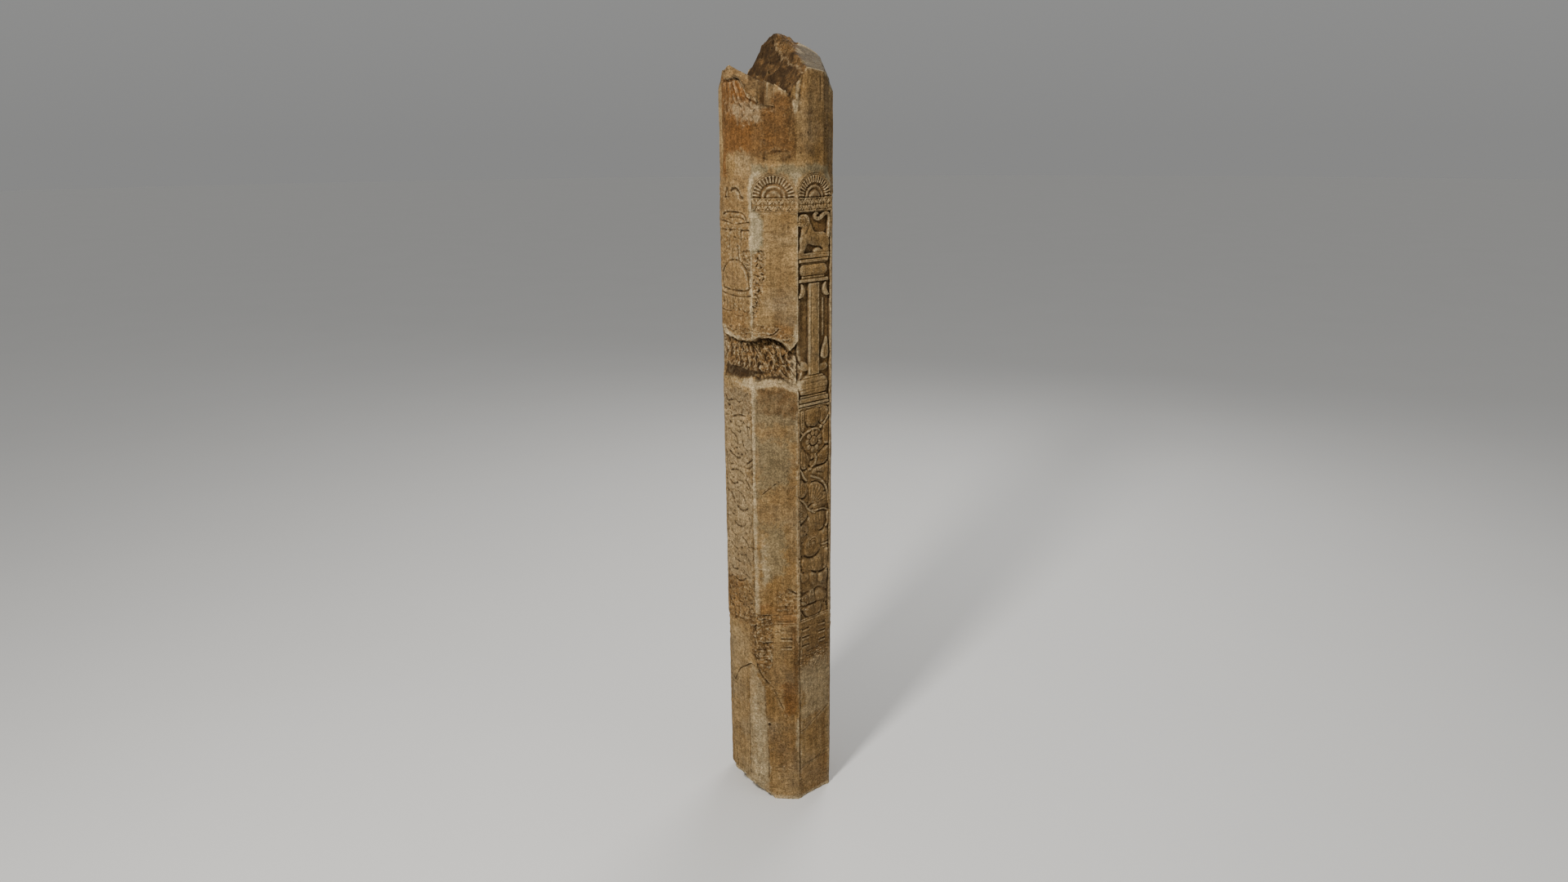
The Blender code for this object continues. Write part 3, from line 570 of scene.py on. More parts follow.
# Its stems, in the order in which they cross
SCROLL_STEMS = (
    ((64, 1352), (56, 1336), (46, 1323), (30, 1310), (22, 1304)),
    ((-66, 1345), (-66, 1325), (-60, 1308), (-46, 1293)),
    ((-71, 1260), (-62, 1279), (-48, 1292), (-30, 1301), (-6, 1307), (12, 1304), (24, 1297)),
    ((-66, 1268), (-69, 1240), (-67, 1212), (-58, 1182), (-46, 1158), (-34, 1142)),
    ((5, 1222), (8, 1206), (2, 1192), (-10, 1182), (-22, 1176)),
    ((-14, 1153), (8, 1144), (28, 1133), (44, 1117), (55, 1098), (62, 1072), (64, 1048)),
    ((-71, 1096), (-54, 1080), (-40, 1065), (-28, 1048), (-16, 1037), (2, 1028)),
    ((-6, 1036), (4, 1031), (22, 1033), (42, 1031), (60, 1022)),
    ((62, 1020), (59, 1002), (61, 984), (53, 971)), ((52, 868), (61, 846), (64, 820)),
)
# Undercut edges under the forms: width, path
SCROLL_SHADOWS = (
    (3.6, (-60, 1374), (-44, 1377), (-22, 1376), (10, 1378), (44, 1377), (60, 1371), (62, 1358),
     (58, 1344)),
    (5.0, (-36, 1333), (-31, 1322), (-24, 1314)),
    (5.0, (-18, 1317), (-8, 1314), (4, 1313), (14, 1319), (21, 1326)),
    (3.4, (20, 1326), (30, 1317), (40, 1312)),
    (5.0, (22, 1305), (26, 1300), (32, 1296)),
    (3.6, (-20, 1262), (-14, 1255), (-2, 1252), (10, 1255), (17, 1262)),
    (5.0, (-46, 1254), (-40, 1243), (-31, 1235), (-20, 1224), (-12, 1217)),
    (4.4, (10, 1219), (24, 1225), (38, 1235), (50, 1243), (63, 1245)),
    (5.4, (-60, 1192), (-53, 1181), (-43, 1177), (-31, 1181)),
    (4.6, (-22, 1190), (-12, 1181), (4, 1182), (24, 1181), (44, 1182), (56, 1190), (64, 1200)),
    (5.6, (-14, 1206), (-7, 1204), (-1, 1207)),
    (4.0, (12, 1163), (24, 1159), (38, 1154)),
    (4.4, (-48, 1148), (-40, 1138), (-30, 1137)),
    (5.6, (-70, 1096), (-62, 1088), (-50, 1084), (-38, 1088), (-30, 1098)),
    (3.4, (-10, 1132), (12, 1130), (32, 1119), (46, 1104), (54, 1086)),
    (5.4, (-28, 1051), (-18, 1054), (-12, 1057), (-3, 1058)),
    (3.4, (-6, 1041), (0, 1031), (20, 1030), (42, 1028), (58, 1020)),
    (5.2, (-58, 1000), (-48, 1002), (-38, 1009), (-28, 1019)),
    (5.2, (27, 959), (38, 962), (46, 972)),
    (5.6, (-41, 888), (-30, 880), (-14, 875), (4, 878), (16, 883), (25, 892)),
    (4.4, (36, 903), (48, 904), (61, 905)),
    (4.0, (38, 914), (48, 915), (61, 917)),
    (4.6, (-8, 827), (2, 821), (12, 816)),
    (5.4, (25, 815), (40, 815), (50, 823), (56, 834)),
    (7.0, (-58, 764), (-50, 756), (-38, 755), (-26, 757)),
    (7.0, (4, 756), (16, 761), (30, 758), (44, 749), (60, 738)),
    (4.0, (-26, 712), (-10, 710), (12, 713)),
    (5.4, (-50, 694), (-43, 682), (-35, 672), (-26, 667)),
    (5.0, (34, 704), (36, 690), (31, 676), (25, 667)),
)


SCROLL_PITS = ((-42, 972), (-32, 959), (-52, 935), (-60, 924), (-60, 911), (-53, 890), (-66, 885),
               (-65, 872), (-60, 857), (-54, 843), (-44, 830), (58, 814), (46, 1089), (37, 1081),
               (-27, 1066))


def scroll(face, ground=4.4, keep=1.0):
    """The long scroll: hanging leaf, rosette, leaves, fan, medallion and pot."""
    side = HALF_FACE - 6
    face.sink(box(-side, RAIL_TOP + 4, side, SCROLL_TOP - 4), ground * keep, 2.0)
    for crown, spread, *points in SCROLL_FORMS:
        face.mount(bend(points, True, 4), ground * keep, 0.1, 2.4, crown * keep, spread)
    rosette(face, (-2, 1268), ground * keep, keep)
    for path in SCROLL_STEMS:
        face.tube(bend(path), 7.5, ground * keep, 0.0, 2.2 * keep)
    for width, *path in SCROLL_SHADOWS:
        face.line(*path, width=width, depth=3.4 * keep)
    scroll_veins(face, keep)
    face.pits(SCROLL_PITS, 4.2, 3.6 * keep)
    face.pits(((58, 697), (60, 687), (-58, 700), (48, 702)), 6, 4.0 * keep)
    low, high = RAIL_TOP + 6, SCROLL_TOP - 8
    for edge in (-1, 1):
        face.rib([(edge * 66, high), (edge * 66.5, 1000), (edge * 66, low)], 5.5, 1.0 * keep)
        face.engrave([(edge * 62.5, high), (edge * 62.5, low)], 2.6, 2.0 * keep)


def rosette(face, centre, ground, keep):
    """A flower in the bend of the stem."""
    for index in range(9):
        turn = 2 * pi * index / 9 + 0.35
        middle = around(centre, 26.5, turn)
        petal = []
        for step in range(14):
            along, across = 10 * cos(2 * pi * step / 14), 8.6 * sin(2 * pi * step / 14)
            petal.append((middle[0] + along * cos(turn) - across * sin(turn),
                          middle[1] + along * sin(turn) + across * cos(turn)))
        face.mount(petal, ground, 0.2, 2.2, 2.0 * keep, 7)
        face.engrave([around(centre, 20, turn), around(centre, 30, turn)], 2.2, 1.0 * keep)
    face.mount(arc(centre, 15.5, 0, 345, 24), ground, 0.0, 2.2, 2.4 * keep, 9)
    face.engrave(arc(centre, 8, 0, 345, 16), 2.6, 1.6 * keep)


HANGING_LEAF_LINES = (
    (2.4, 1.6, (-58, 1368), (-60, 1340), (-55, 1314)),
    (2.8, 1.6, (-30, 1368), (-33, 1350), (-29, 1334), (-18, 1324), (0, 1320), (11, 1326), (18, 1340),
     (18, 1362)),
)
# Veins side by side: how many, width, depth, then u, z and their steps for each point
SCROLL_VEINS = (
    (5, 2.4, 1.2, (33, 1370, 5, -1), (32, 1350, 4, 0), (34, 1332, 3, 2)),
    (2, 2.6, 1.3, (-48, 1237, 12, -2), (-51, 1210, 18, 0), (-49, 1188, 10, 0)),
    (4, 2.6, 1.3, (12, 1200, 0, 2), (32, 1200, 0, 7), (56, 1200, 0, 9)),
    (4, 2.6, 1.1, (8, 1174, 12, 0), (12, 1160, 12, -4)),
    (4, 2.6, 1.2, (-62, 1136, 9, 0), (-60, 1112, 9, 0), (-56, 1092, 6, 0)),
    (6, 3.0, 1.7, (-66, 1012, 0, 9), (-56, 1016, 0, 9), (-44, 1010, 0, 8)),
    (5, 3.0, 1.2, (-20, 1018, 13, 0), (-14, 996, 12, 0), (-2, 976, 9, 0)),
    (4, 2.8, 1.2, (-34, 868, 18, 0), (-30, 852, 16, 0), (-24, 838, 13, 0)),
    (4, 2.6, 1.4, (-20, 758, 6, 0), (-18, 742, 5, 0), (-20, 722, 6, 0)),
)
FAN_ROOT = (-16, 1054)
FAN_TURNS = (100, 86, 73, 60, 47, 34, 21, 9)


def scroll_veins(face, keep):
    """Lines, beads and hatching on the scroll's forms."""
    face.lines(HANGING_LEAF_LINES, keep)
    for count, width, depth, *points in SCROLL_VEINS:
        face.hatch(count, width, depth * keep, *points)
    for turn in FAN_TURNS:
        reach = 70 - 0.12 * abs(turn - 50)
        ray = [around(FAN_ROOT, radius, radians(turn)) for radius in (20, reach)]
        face.engrave(ray, 3.4, 1.9 * keep)
    for radius, depth in ((26, 1.8), (18, 1.6), (10, 2.0)):
        face.engrave(arc((-5, 922), radius, -5, 205, 20), 3.2, depth * keep)
    # Beads beside the hanging leaf and in the medallion
    for rung in range(8):
        face.pit((-51, 1312 + 7.6 * rung), 3.2, 2.4 * keep)
    for rung in range(5):
        for column in range(6):
            face.pit((-52 + 7 * column + 3 * (rung % 2), 922 + 7 * rung), 2.8, 0.8 * keep)


def sunk_panel(face, edge):
    face.sink(box(-HALF_FACE + 3, PANEL_LOW + 4, HALF_FACE - 3, BAND_LOW - 1), PANEL_GROUND, edge)


def pillar(face):
    """The column with its capital and its pot."""
    capital(face)
    carved_column(face)
    vase_and_steps(face)


# Scratches and cracks below the scroll
LION_FOOT_LINES = (
    (2.4, 0.8, (-60, 470), (-10, 452), (30, 462), (64, 486)),
    (3.0, 2.4, (66, 316), (30, 296), (4, 286), (-30, 266), (-62, 258)),
    (2.6, 1.8, (20, 292), (12, 276), (16, 262)),
    (5.0, 3.6, (-64, 606), (-65, 480), (-63, 340), (-65, 200), (-64, 60)),
    (3.0, 2.0, (-68, 112), (-50, 118), (-10, 128), (40, 138), (68, 142)),
)


def lion_face(face):
    half_lotus(face, 18)
    flower_band(face, 4)
    sunk_panel(face, 2.0)
    lion(face)
    pillar(face)
    scroll(face)
    railing(face)
    face.lines(LION_FOOT_LINES)


# The plain front face

# Faint dressing across the face: height, sag
DRESSING = ((1925, 3), (1905, -2), (1762, 5), (1745, 4), (1728, 5), (1712, 4), (1420, 2), (1402, -3),
            (1360, 2), (1330, 3))
# Chips along its left arris
ARRIS_CHIPS = (
    ((-52, 1868), (-40, 1866), (-30, 1856), (-28, 1842), (-33, 1832), (-42, 1828)),
    ((-45, 1858), (-39, 1852), (-38, 1843), (-44, 1838), (-51, 1842)),
    ((-50, 1826), (-44, 1818), (-36, 1812), (-33, 1802)),
    ((-56, 1812), (-50, 1804), (-42, 1800), (-36, 1792)),
    ((-58, 1794), (-48, 1788), (-40, 1782), (-32, 1770), (-30, 1758)),
    ((-60, 1778), (-52, 1768), (-44, 1762)), ((-60, 1756), (-50, 1750), (-42, 1744), (-36, 1734)),
    ((-62, 1740), (-54, 1732), (-47, 1722)), ((-66, 1722), (-56, 1718), (-48, 1708), (-44, 1700)),
    ((-68, 1700), (-60, 1694), (-54, 1682)), ((-68, 1684), (-63, 1674), (-62, 1664)),
)
# Round chips there: place, size, the angles where their edge starts and ends
ROUND_CHIPS = ((-40, 1849, 12, -2.6, 2.2), (-46, 1816, 8, -0.6, 3.6), (-39, 1786, 9, -2.2, 1.2),
               (-52, 1752, 8, -1.2, 2.6), (-60, 1704, 8, -2.4, 1.6))
CHIP_PITS = ((-60, 1702), (-46, 1806), (-36, 1848), (-54, 1764), (-58, 1730), (-42, 1778))
RAIL_PITS = ((30, 752), (44, 746), (56, 740), (20, 736), (40, 726), (60, 716), (50, 706), (14, 742),
             (28, 716))
FRONT_SCRATCHES = (
    (3.6, 3.0, (-50, 1602), (-30, 1607), (-8, 1612), (4, 1620), (12, 1630)),
    (2.8, 2.4, (-44, 1102), (-24, 1119), (-2, 1138)),
    (5, 4.0, (38, 780), (50, 772), (62, 764)),
)
FRONT_FOOT_LINES = (
    (3.0, 1.6, (-60, 684), (-20, 686), (30, 690), (66, 696)),
    (4.4, 3.8, (-68, 508), (-66, 498), (-56, 474), (-43, 454), (-28, 436), (-16, 425)),
    (3.0, 2.4, (-16, 425), (-2, 392), (12, 360), (24, 332), (34, 311), (42, 286)),
    (2.6, 1.6, (-28, 560), (-20, 530), (-18, 505)),
    (2.4, 1.4, (-8, 300), (0, 270), (8, 230)),
    (3.2, 2.4, (-12, 120), (20, 121), (46, 119)),
    (2.6, 1.5, (-46, 430), (-37, 240), (-30, 40)),
)


def chipped_arris(face):
    for points in ARRIS_CHIPS:
        face.line(*points, width=3.4, depth=1.2)
    for u, z, size, start, stop in ROUND_CHIPS:
        turns = np.linspace(start, stop, 12)
        face.line(*[(u + 0.9 * size * cos(turn), z + 1.2 * size * sin(turn)) for turn in turns],
                  width=3.6, depth=3.0)
    face.pits(CHIP_PITS, 4.0, 2.0)


def front_face(face):
    half_lotus(face, 17)
    flower_band(face, 4)
    face.wear(box(30, 1970, 80, 2092), 0.75)
    for height, sag in DRESSING:
        face.line((-20, height), (20, height - sag), (62, height + 4), width=3.6, depth=0.5)
    face.uneven = 0.7
    chipped_arris(face)
    # Low bumps under the band
    face.pits(((-8, 1950), (-14, 1954), (-2, 1946)), 5, -1.2)
    face.lines(FRONT_SCRATCHES)
    face.pits(RAIL_PITS, 6, 2.4)
    # What is left of the railing
    railing(face, ((12, 48),))
    face.engrave([(-24, 655), (66, 657)], 2.8, 1.6)
    face.engrave([(-20, 626), (66, 627)], 2.6, 1.4)
    face.engrave([(3, 690), (3, 600)], 3.0, 1.2)
    face.sink(box(-58, 656, -18, 686), 2.6, 4)
    face.lines(FRONT_FOOT_LINES)
    face.pit((-30, 284), 7, 8.0)


# The worn face with the stupa

STUPA_DOME = ((-60, 1752), (-63, 1775), (-58, 1798), (-46, 1816), (-28, 1829), (0, 1833), (22, 1829),
              (38, 1815), (50, 1797), (58, 1776), (62, 1752))
# Lines of the stupa from its top down: width, share of the depth, points
STUPA_LINES = (
    (3.6, 1, (-52, 1966), (-36, 1973), (0, 1974), (30, 1972), (42, 1967), (50, 1957), (54, 1946)),
    (2.6, 0.5, (-22, 1958), (10, 1959), (40, 1955)),
    (2.8, 0.8, (-62, 1948), (-30, 1943), (0, 1938), (30, 1942), (62, 1946)),
    (3.0, 1, (-68, 1922), (-30, 1920), (0, 1923), (30, 1921), (64, 1923)),
    (3.6, 1, (26, 1912), (27, 1896), (25, 1878)),
    (3.2, 0.8, (-28, 1908), (-29, 1886), (-26, 1862)),
    (2.4, 0.6, (-4, 1900), (30, 1896), (60, 1899)),
    (4.2, 1.3, (13, 1874), (13, 1850), (17, 1834)),
    (2.8, 0.8, (-15, 1866), (-15, 1848), (-15, 1834)),
    (2.2, 0.5, (-14, 1862), (0, 1860), (12, 1862)),
    (4.0, 1, *STUPA_DOME),
    (6.0, 1.2, (28, 1822), (42, 1812), (53, 1795), (60, 1778)),
    (4.0, 1, (-64, 1750), (-50, 1744), (-20, 1741), (20, 1741), (50, 1744), (64, 1752)),
    (3.0, 0.8, (-64, 1731), (-40, 1726), (0, 1723), (40, 1725), (66, 1729)),
)


def stupa(face, depth=3.6):
    """Parasol, staff, box, dome and railing of a small stupa."""
    face.lines(STUPA_LINES, depth)
    face.pits(((-27, 1918), (27, 1917), (-27, 1922), (27, 1922)), 4.6, depth * 1.3)
    face.swell(bend([*STUPA_DOME, (0, 1748)], True), 1.6, 22)
    for u in (-48, -30, -12, 8, 28, 46):
        face.line((u, 1718), (u + 1, 1700), (u, 1684), width=3.2, depth=depth * 0.45)


# Lines of the worn scroll, from the top down
WORN_LINES = (
    ((-62, 1408), (-56, 1394), (-48, 1388), (-34, 1394), (-12, 1396)),
    ((-12, 1396), (2, 1390), (20, 1402), (38, 1422), (44, 1426)), ((-52, 1378), (-46, 1370), (-42, 1364)),
    ((-36, 1338), (-16, 1344), (6, 1350), (30, 1350)),
    ((-36, 1288), (-20, 1280), (-10, 1268), (-8, 1250), (-12, 1240)), ((-28, 1232), (-14, 1238), (2, 1243)),
    ((-52, 1294), (-44, 1296), (-40, 1292)), ((20, 1330), (32, 1322), (42, 1308), (44, 1290)),
    ((10, 1300), (2, 1294), (-6, 1296)), ((34, 1240), (22, 1250), (16, 1268)),
    ((48, 1204), (56, 1210), (63, 1217)), ((36, 1195), (46, 1203), (52, 1214)),
    ((-46, 1224), (-36, 1216), (-26, 1212), (-14, 1206)), ((-10, 1206), (4, 1212), (12, 1224)),
    ((-50, 1188), (-42, 1180), (-34, 1184)), ((-40, 1160), (-20, 1166), (4, 1164), (22, 1152)),
    ((30, 1140), (44, 1128), (52, 1110)), ((-54, 1134), (-44, 1120), (-28, 1116), (-12, 1124)),
    ((-10, 1096), (6, 1090), (20, 1080), (26, 1064)), ((-46, 1082), (-34, 1070), (-30, 1052)),
    ((-16, 1044), (2, 1034), (22, 1036), (36, 1046)), ((-52, 1026), (-40, 1012), (-22, 1008)),
    ((44, 1016), (52, 1000), (50, 982)), ((-30, 986), (-10, 976), (12, 980), (26, 992)),
    ((-48, 960), (-38, 944), (-18, 938)), ((8, 940), (26, 930), (40, 914)),
    ((-50, 910), (-36, 898), (-14, 896), (4, 904)), ((20, 884), (36, 870), (46, 852)),
    ((-42, 870), (-26, 856), (-6, 852)), ((-54, 832), (-40, 820), (-20, 822)),
    ((10, 826), (24, 812), (42, 808)), ((-34, 790), (-14, 784), (8, 790), (20, 800)),
)
WORN_PITS = ((10, 1331), (42, 1318), (-40, 1320), (-36, 1348), (-46, 1372), (-58, 1392), (5, 1293),
             (51, 1316), (-10, 1105), (-15, 1055), (-28, 765), (-28, 730), (18, 730), (50, 720), (-52, 685),
             (-35, 660), (36, 760), (-48, 748), (8, 704), (-6, 1220))


def worn_scroll(face, depth=2.8):
    """What is left of a scroll on the worn face."""
    scroll(face, 2.4, 0.42)
    face.line((13, 1452), (14, 1430), (12, 1402), width=2.8, depth=2.2)
    for path in WORN_LINES:
        face.line(*path, width=4.4, depth=depth)
    face.pits(WORN_PITS, 5.4, depth * 1.5)


WORN_LOTUS_LINES = (
    (6, 5.0, (-42, 2018), (-41, 2030), (-35, 2042)),
    (3.6, 2.4, (-44, 2017), (-34, 2017), (-25, 2018)),
    (5.2, 4.8, (-16, 2036), (-6, 2042), (4, 2043), (14, 2039), (22, 2031), (27, 2017)),
    (6.0, 5.0, (13, 2039), (21, 2032), (27, 2019), (37, 2016)),
    (2.6, 1.0, (-46, 2084), (-30, 2088), (4, 2087), (40, 2084)),
)
BELOW_STUPA_LINES = (
    (3.2, 2.2, (-66, 1678), (-44, 1675), (-24, 1676)),
    (2.6, 1.2, (-10, 1668), (8, 1664), (30, 1666)),
    (3.2, 2.0, (30, 1682), (46, 1678), (62, 1684)),
)
STUPA_FOOT_LINES = (
    (2.8, 1.6, (30, 440), (31, 240), (34, 60)),
    (3.4, 3.0, (60, 500), (40, 500), (20, 486), (-6, 470), (-22, 452), (-30, 436), (-44, 412)),
    (2.4, 1.4, (-66, 404), (-40, 400), (-10, 396)),
    (2.8, 2.0, (-46, 170), (-40, 110), (-34, 60)),
)


def stupa_face(face):
    face.uneven = 0.4
    face.softness = 1.15
    face.lines(WORN_LOTUS_LINES)
    stupa(face)
    face.lines(BELOW_STUPA_LINES)
    face.pits(((-50, 1697), (-46, 1704), (-6, 1690), (24, 1694), (12, 1684), (-60, 1704)), 6, 2.4)
    worn_scroll(face)
    face.softness = 1.0
    face.lines(STUPA_FOOT_LINES)


# The hidden faces, in keeping and plainer


def wheel(face, centre, spokes=8):
    """A wheel on the capital: rim, gaps between its spokes and hub."""
    face.mount(arc(centre, 56, 0, 354, 48), PANEL_GROUND, 0.4, 2.4, 1.5, 8)
    for index in range(spokes):
        start, end = index * 360 // spokes + 7, index * 360 // spokes + 38
        face.sink(arc(centre, 45, start, end, 6) + arc(centre, 18, end, start, 4), 4.5, 2.4)
    face.engrave(arc(centre, 10, 0, 350, 16), 3, 2)


def wheel_face(face):
    half_lotus(face, 14)
    flower_band(face, 4)
    sunk_panel(face, 2.4)
    wheel(face, (-2, 1915))
    pillar(face)
    creeper(face)
    railing(face)


def creeper(face, turns=5):
    """A plain wavy stem with a rosette in each bend."""
    rise = (SCROLL_TOP - RAIL_TOP) / turns
    for index in range(turns):
        side = -1 if index % 2 else 1
        low = RAIL_TOP + index * rise
        face.stem([(-side * 8, low + 6), (side * 34, low + rise * 0.2), (side * 52, low + rise * 0.5),
                   (side * 34, low + rise * 0.8), (-side * 8, low + rise - 6)], 6)
        centre = (side * 4, low + rise / 2)
        face.engrave(arc(centre, 9, 0, 350, 16), 3, 2)
        for turn in range(0, 360, 45):
            face.engrave([around(centre, radius, radians(turn)) for radius in (12, 27)], 4, 2.2)


def second_stupa_face(face):
    half_lotus(face, 14)
    flower_band(face, 4)
    stupa(face, 3.4)
    creeper(face)
    railing(face)


def plain_face(face):
    half_lotus(face, 14, 4.0)
    flower_band(face, 4, 3.2)
    railing(face, depth=2.6)


CARVERS = {-3: second_stupa_face, -2: plain_face, -1: stupa_face, 0: front_face, 1: lion_face,
           2: plain_face, 3: wheel_face, 4: plain_face}


# The section of the shaft, with its arrises cut back

# The arris between this face and the next one: where the flat starts and ends, its depth,
# the share of its length that each end takes to fade, its lean in degrees
WORN_ARRISES = (
    (-1, 1887, 2092, 3.6, 0.10, 4),
    (-1, 1440, 1890, 2.6, 0.06, 2),
    (-1, 690, 1450, 3.0, 0.10, 4),
    (-1, -40, 486, 13.0, 0.30, 8),
    (-2, -40, 664, 8.0, 0.04, 0),
    (2, 274, 878, 7.0, 0.20, -6),
    (4, 663, 1378, 5.0, 0.20, 5),
)


def section_scale(x, y, z):
    """By how much a point of the eight-sided outline is drawn in by the arris next to it."""
    scale = np.ones(np.broadcast(x, z).shape)
    for arris in FACES:
        turn = (arris + 0.5) * EIGHTH - pi / 2
        near = x * cos(turn) + y * sin(turn)
        reach = np.interp(z, (SPANDREL_LOW, HEAD_LOW), (ARRIS_RADIUS - 1.2, INRADIUS))
        chips = rough(0.0, arris * 37.0, z, 34, 50 + arris)
        reach = reach - 2.6 * np.clip(chips - 0.35, 0, None)
        scale = np.minimum(scale, reach / near.clip(1))
        for number, low, high, depth, taper, lean in WORN_ARRISES:
            if number == arris:
                run = (high - low) * taper
                cut = depth * np.interp(z, (low, low + run, high - run, high), (0, 1, 1, 0))
                leaned = turn + radians(lean)
                across = (x * cos(leaned) + y * sin(leaned)).clip(1)
                limit = (ARRIS_RADIUS - cut) * cos(radians(lean))
                scale = np.where(cut > 0, np.minimum(scale, limit / across), scale)
    return scale


# Breaks

# Where the lower edge of the scar departs from its plane: place along the face with the
# stupa, then how much higher the edge is
SCAR_PLACES = (-72, -60, -50, -40, -20, 0, 20, 35, 50, 65, 72)
SCAR_RISES = (-4, -14, -26, -24, -6, 13, 29, 26, 9, 6, 7)
POCKET_RIGHT, SCAR_RIGHT = -27, 5
# The bevel behind it is smooth from here to the right
BEVEL_LEFT = 58

# Planes of the broken head: the height and the place of a point of each, its rise along x and y
CREST = (2392, -134, -78, -0.711, -0.446)
SCAR = (2392, -134, -78, 0.027, 1.19)
SHOULDER = (2368, -162, -78, 0.78, -0.78)
WALL = (2365, 84, -155, 1.12, 0.7455)
SLOPE = (2365, 84, -155, 0.4955, 0.513)
RIM = (2462, 0, 115, 0, 1.1)
BEVEL = (2380, 95, -145, -0.467, 0.2457)
DROP = (2372, 145, -95, -2.49, 0.041)


def plane(form, x, y):
    """Height of a plane over the plan."""
    height, at_x, at_y, rise_x, rise_y = form
    return height + rise_x * (x - at_x) + rise_y * (y - at_y)


def front_planes(x, y):
    """Height over the plan of the fragment that stands in front of the broken head."""
    crest, scar, shoulder = plane(CREST, x, y), plane(SCAR, x, y), plane(SHOULDER, x, y)
    left_depth = INRADIUS + (x + y) * cos(EIGHTH)
    left_place = (x - y) * cos(EIGHTH)
    front_depth = INRADIUS + y
    fade = smooth(1 - left_depth / 22)
    rise = np.interp(left_place, SCAR_PLACES, SCAR_RISES) * fade * (left_place < 74)
    rise = rise + np.interp(x, (-72, -60, -40, POCKET_RIGHT), (12, 6, -3, -8)) * (left_place >= 74)
    scar = np.minimum(scar + rise, shoulder)
    pocket = smooth((x + 50) / 8) * smooth(front_depth / 5) * smooth((46 - front_depth) / 14)
    scar = scar - 15 * pocket
    # The pale facet between the pocket and the whole part of the front face
    facet = 2276 + 6 * (front_depth - 0.45 * (SCAR_RIGHT - x))
    facet = np.maximum(facet, 2276 + 0.5 * front_depth)
    front = np.where(x < POCKET_RIGHT, scar, np.where(x < SCAR_RIGHT, facet, crest + 9))
    return np.minimum(front, crest)


def back_planes(x, y):
    """Heights over the plan of the wall and the slope behind the fragment."""
    return plane(WALL, x, y), np.maximum(plane(SLOPE, x, y), plane(RIM, x, y))


def head_surface(x, y):
    """Height of the broken head over the plan."""
    grain = rough(x, y, 0.0, 30, 11, 2)
    # Places on the wall of the break: across it and up its slope
    across, up = 0.833 * y - 0.554 * x, 1.396 * x + 0.929 * y
    lumps = rough(across, up, 0.0, 14, 15, 3)
    shake_x, shake_y = x + 5 * grain, y + 5 * rough(x, y, 9.0, 24, 12, 2)
    wall, slope = back_planes(shake_x, shake_y)
    breaks = facets(across + 6 * grain, up + 6 * lumps, 36, 13)
    breaks = breaks + 0.5 * facets(across + 3 * lumps, up + 4 * grain, 15, 14)
    back = np.minimum(wall, slope) + 3 * grain + 8.5 * breaks + 1.5 * lumps
    back = back - 5 * np.clip(lumps - 0.3, 0, None)
    back = back + 10 * smooth((back - 2438) / 24) * smooth((BEVEL_LEFT + 30 - x) / 20)
    broken = smooth((BEVEL_LEFT + 6 * grain - x) / 8)
    smooth_bevel = plane(BEVEL, x + 2 * grain, y) + 0.5 * grain
    smooth_bevel = smooth_bevel + broken * (4.0 * breaks + 2.6 * lumps - 2)
    drop = plane(DROP, shake_x, shake_y) + 2.0 * grain
    back = np.minimum(np.minimum(back, smooth_bevel), drop)
    front = front_planes(x, y) + 1.2 * grain + 1.0 * lumps
    top = HIGH.z / MM - 5 * np.clip(breaks, 0, 1)
    return np.minimum(np.maximum(front, back), top)


# Along the notch: place in faces from the middle of the front, then heights of its roof
# and ledge, and its depth
NOTCH_PLACES = (-1.72, -1.55, -1.50, -1.43, -1.32, -1.00, -0.80, -0.50, -0.36, -0.15, 0.00, 0.14, 0.28,
                0.34, 0.42, 0.48, 0.50, 0.53, 0.56, 0.62, 0.67)
NOTCH_ROOFS = (1600, 1618, 1622, 1606, 1598, 1591, 1594, 1597, 1606, 1602, 1598, 1592, 1572, 1566, 1577,
               1592, 1600, 1572, 1546, 1516, 1500)
NOTCH_LEDGES = (1490, 1468, 1458, 1456, 1455, 1455, 1451, 1447, 1449, 1456, 1457, 1456, 1447, 1443, 1437,
                1432, 1431, 1440, 1452, 1478, 1499)
NOTCH_DEPTHS = (0, 14, 18, 20, 22, 28, 33, 42, 42, 42, 40, 38, 36, 34, 30, 26, 24, 20, 17, 10, 0)


# Across the notch, from its ledge to its roof: the depth as a share of the whole, on the
# front face and left of it
RISE_SHARES = (0, 0.03, 0.13, 0.20, 0.45, 0.72, 0.94, 1.0)
FRONT_DEPTHS = (0, 0.20, 0.86, 0.94, 1.0, 0.96, 0.84, 0)
LEFT_DEPTHS = (0, 0.16, 0.46, 0.66, 1.0, 0.98, 0.86, 0)
# Hollows in the rough stone: place and height, radius, depth
NOTCH_HOLLOWS = ((-34, 1534, 16, 9), (-14, 1516, 10, 7), (8, 1508, 14, 8), (36, 1536, 9, 6),
                 (56, 1542, 13, 8), (-66, 1512, 9, 6), (-172, 1490, 15, 6), (-150, 1560, 9, 4),
                 (-96, 1556, 10, 5), (-30, 1592, 18, 7), (22, 1584, 12, 5), (64, 1512, 10, 6),
                 (-128, 1520, 8, 4), (46, 1500, 9, 5))


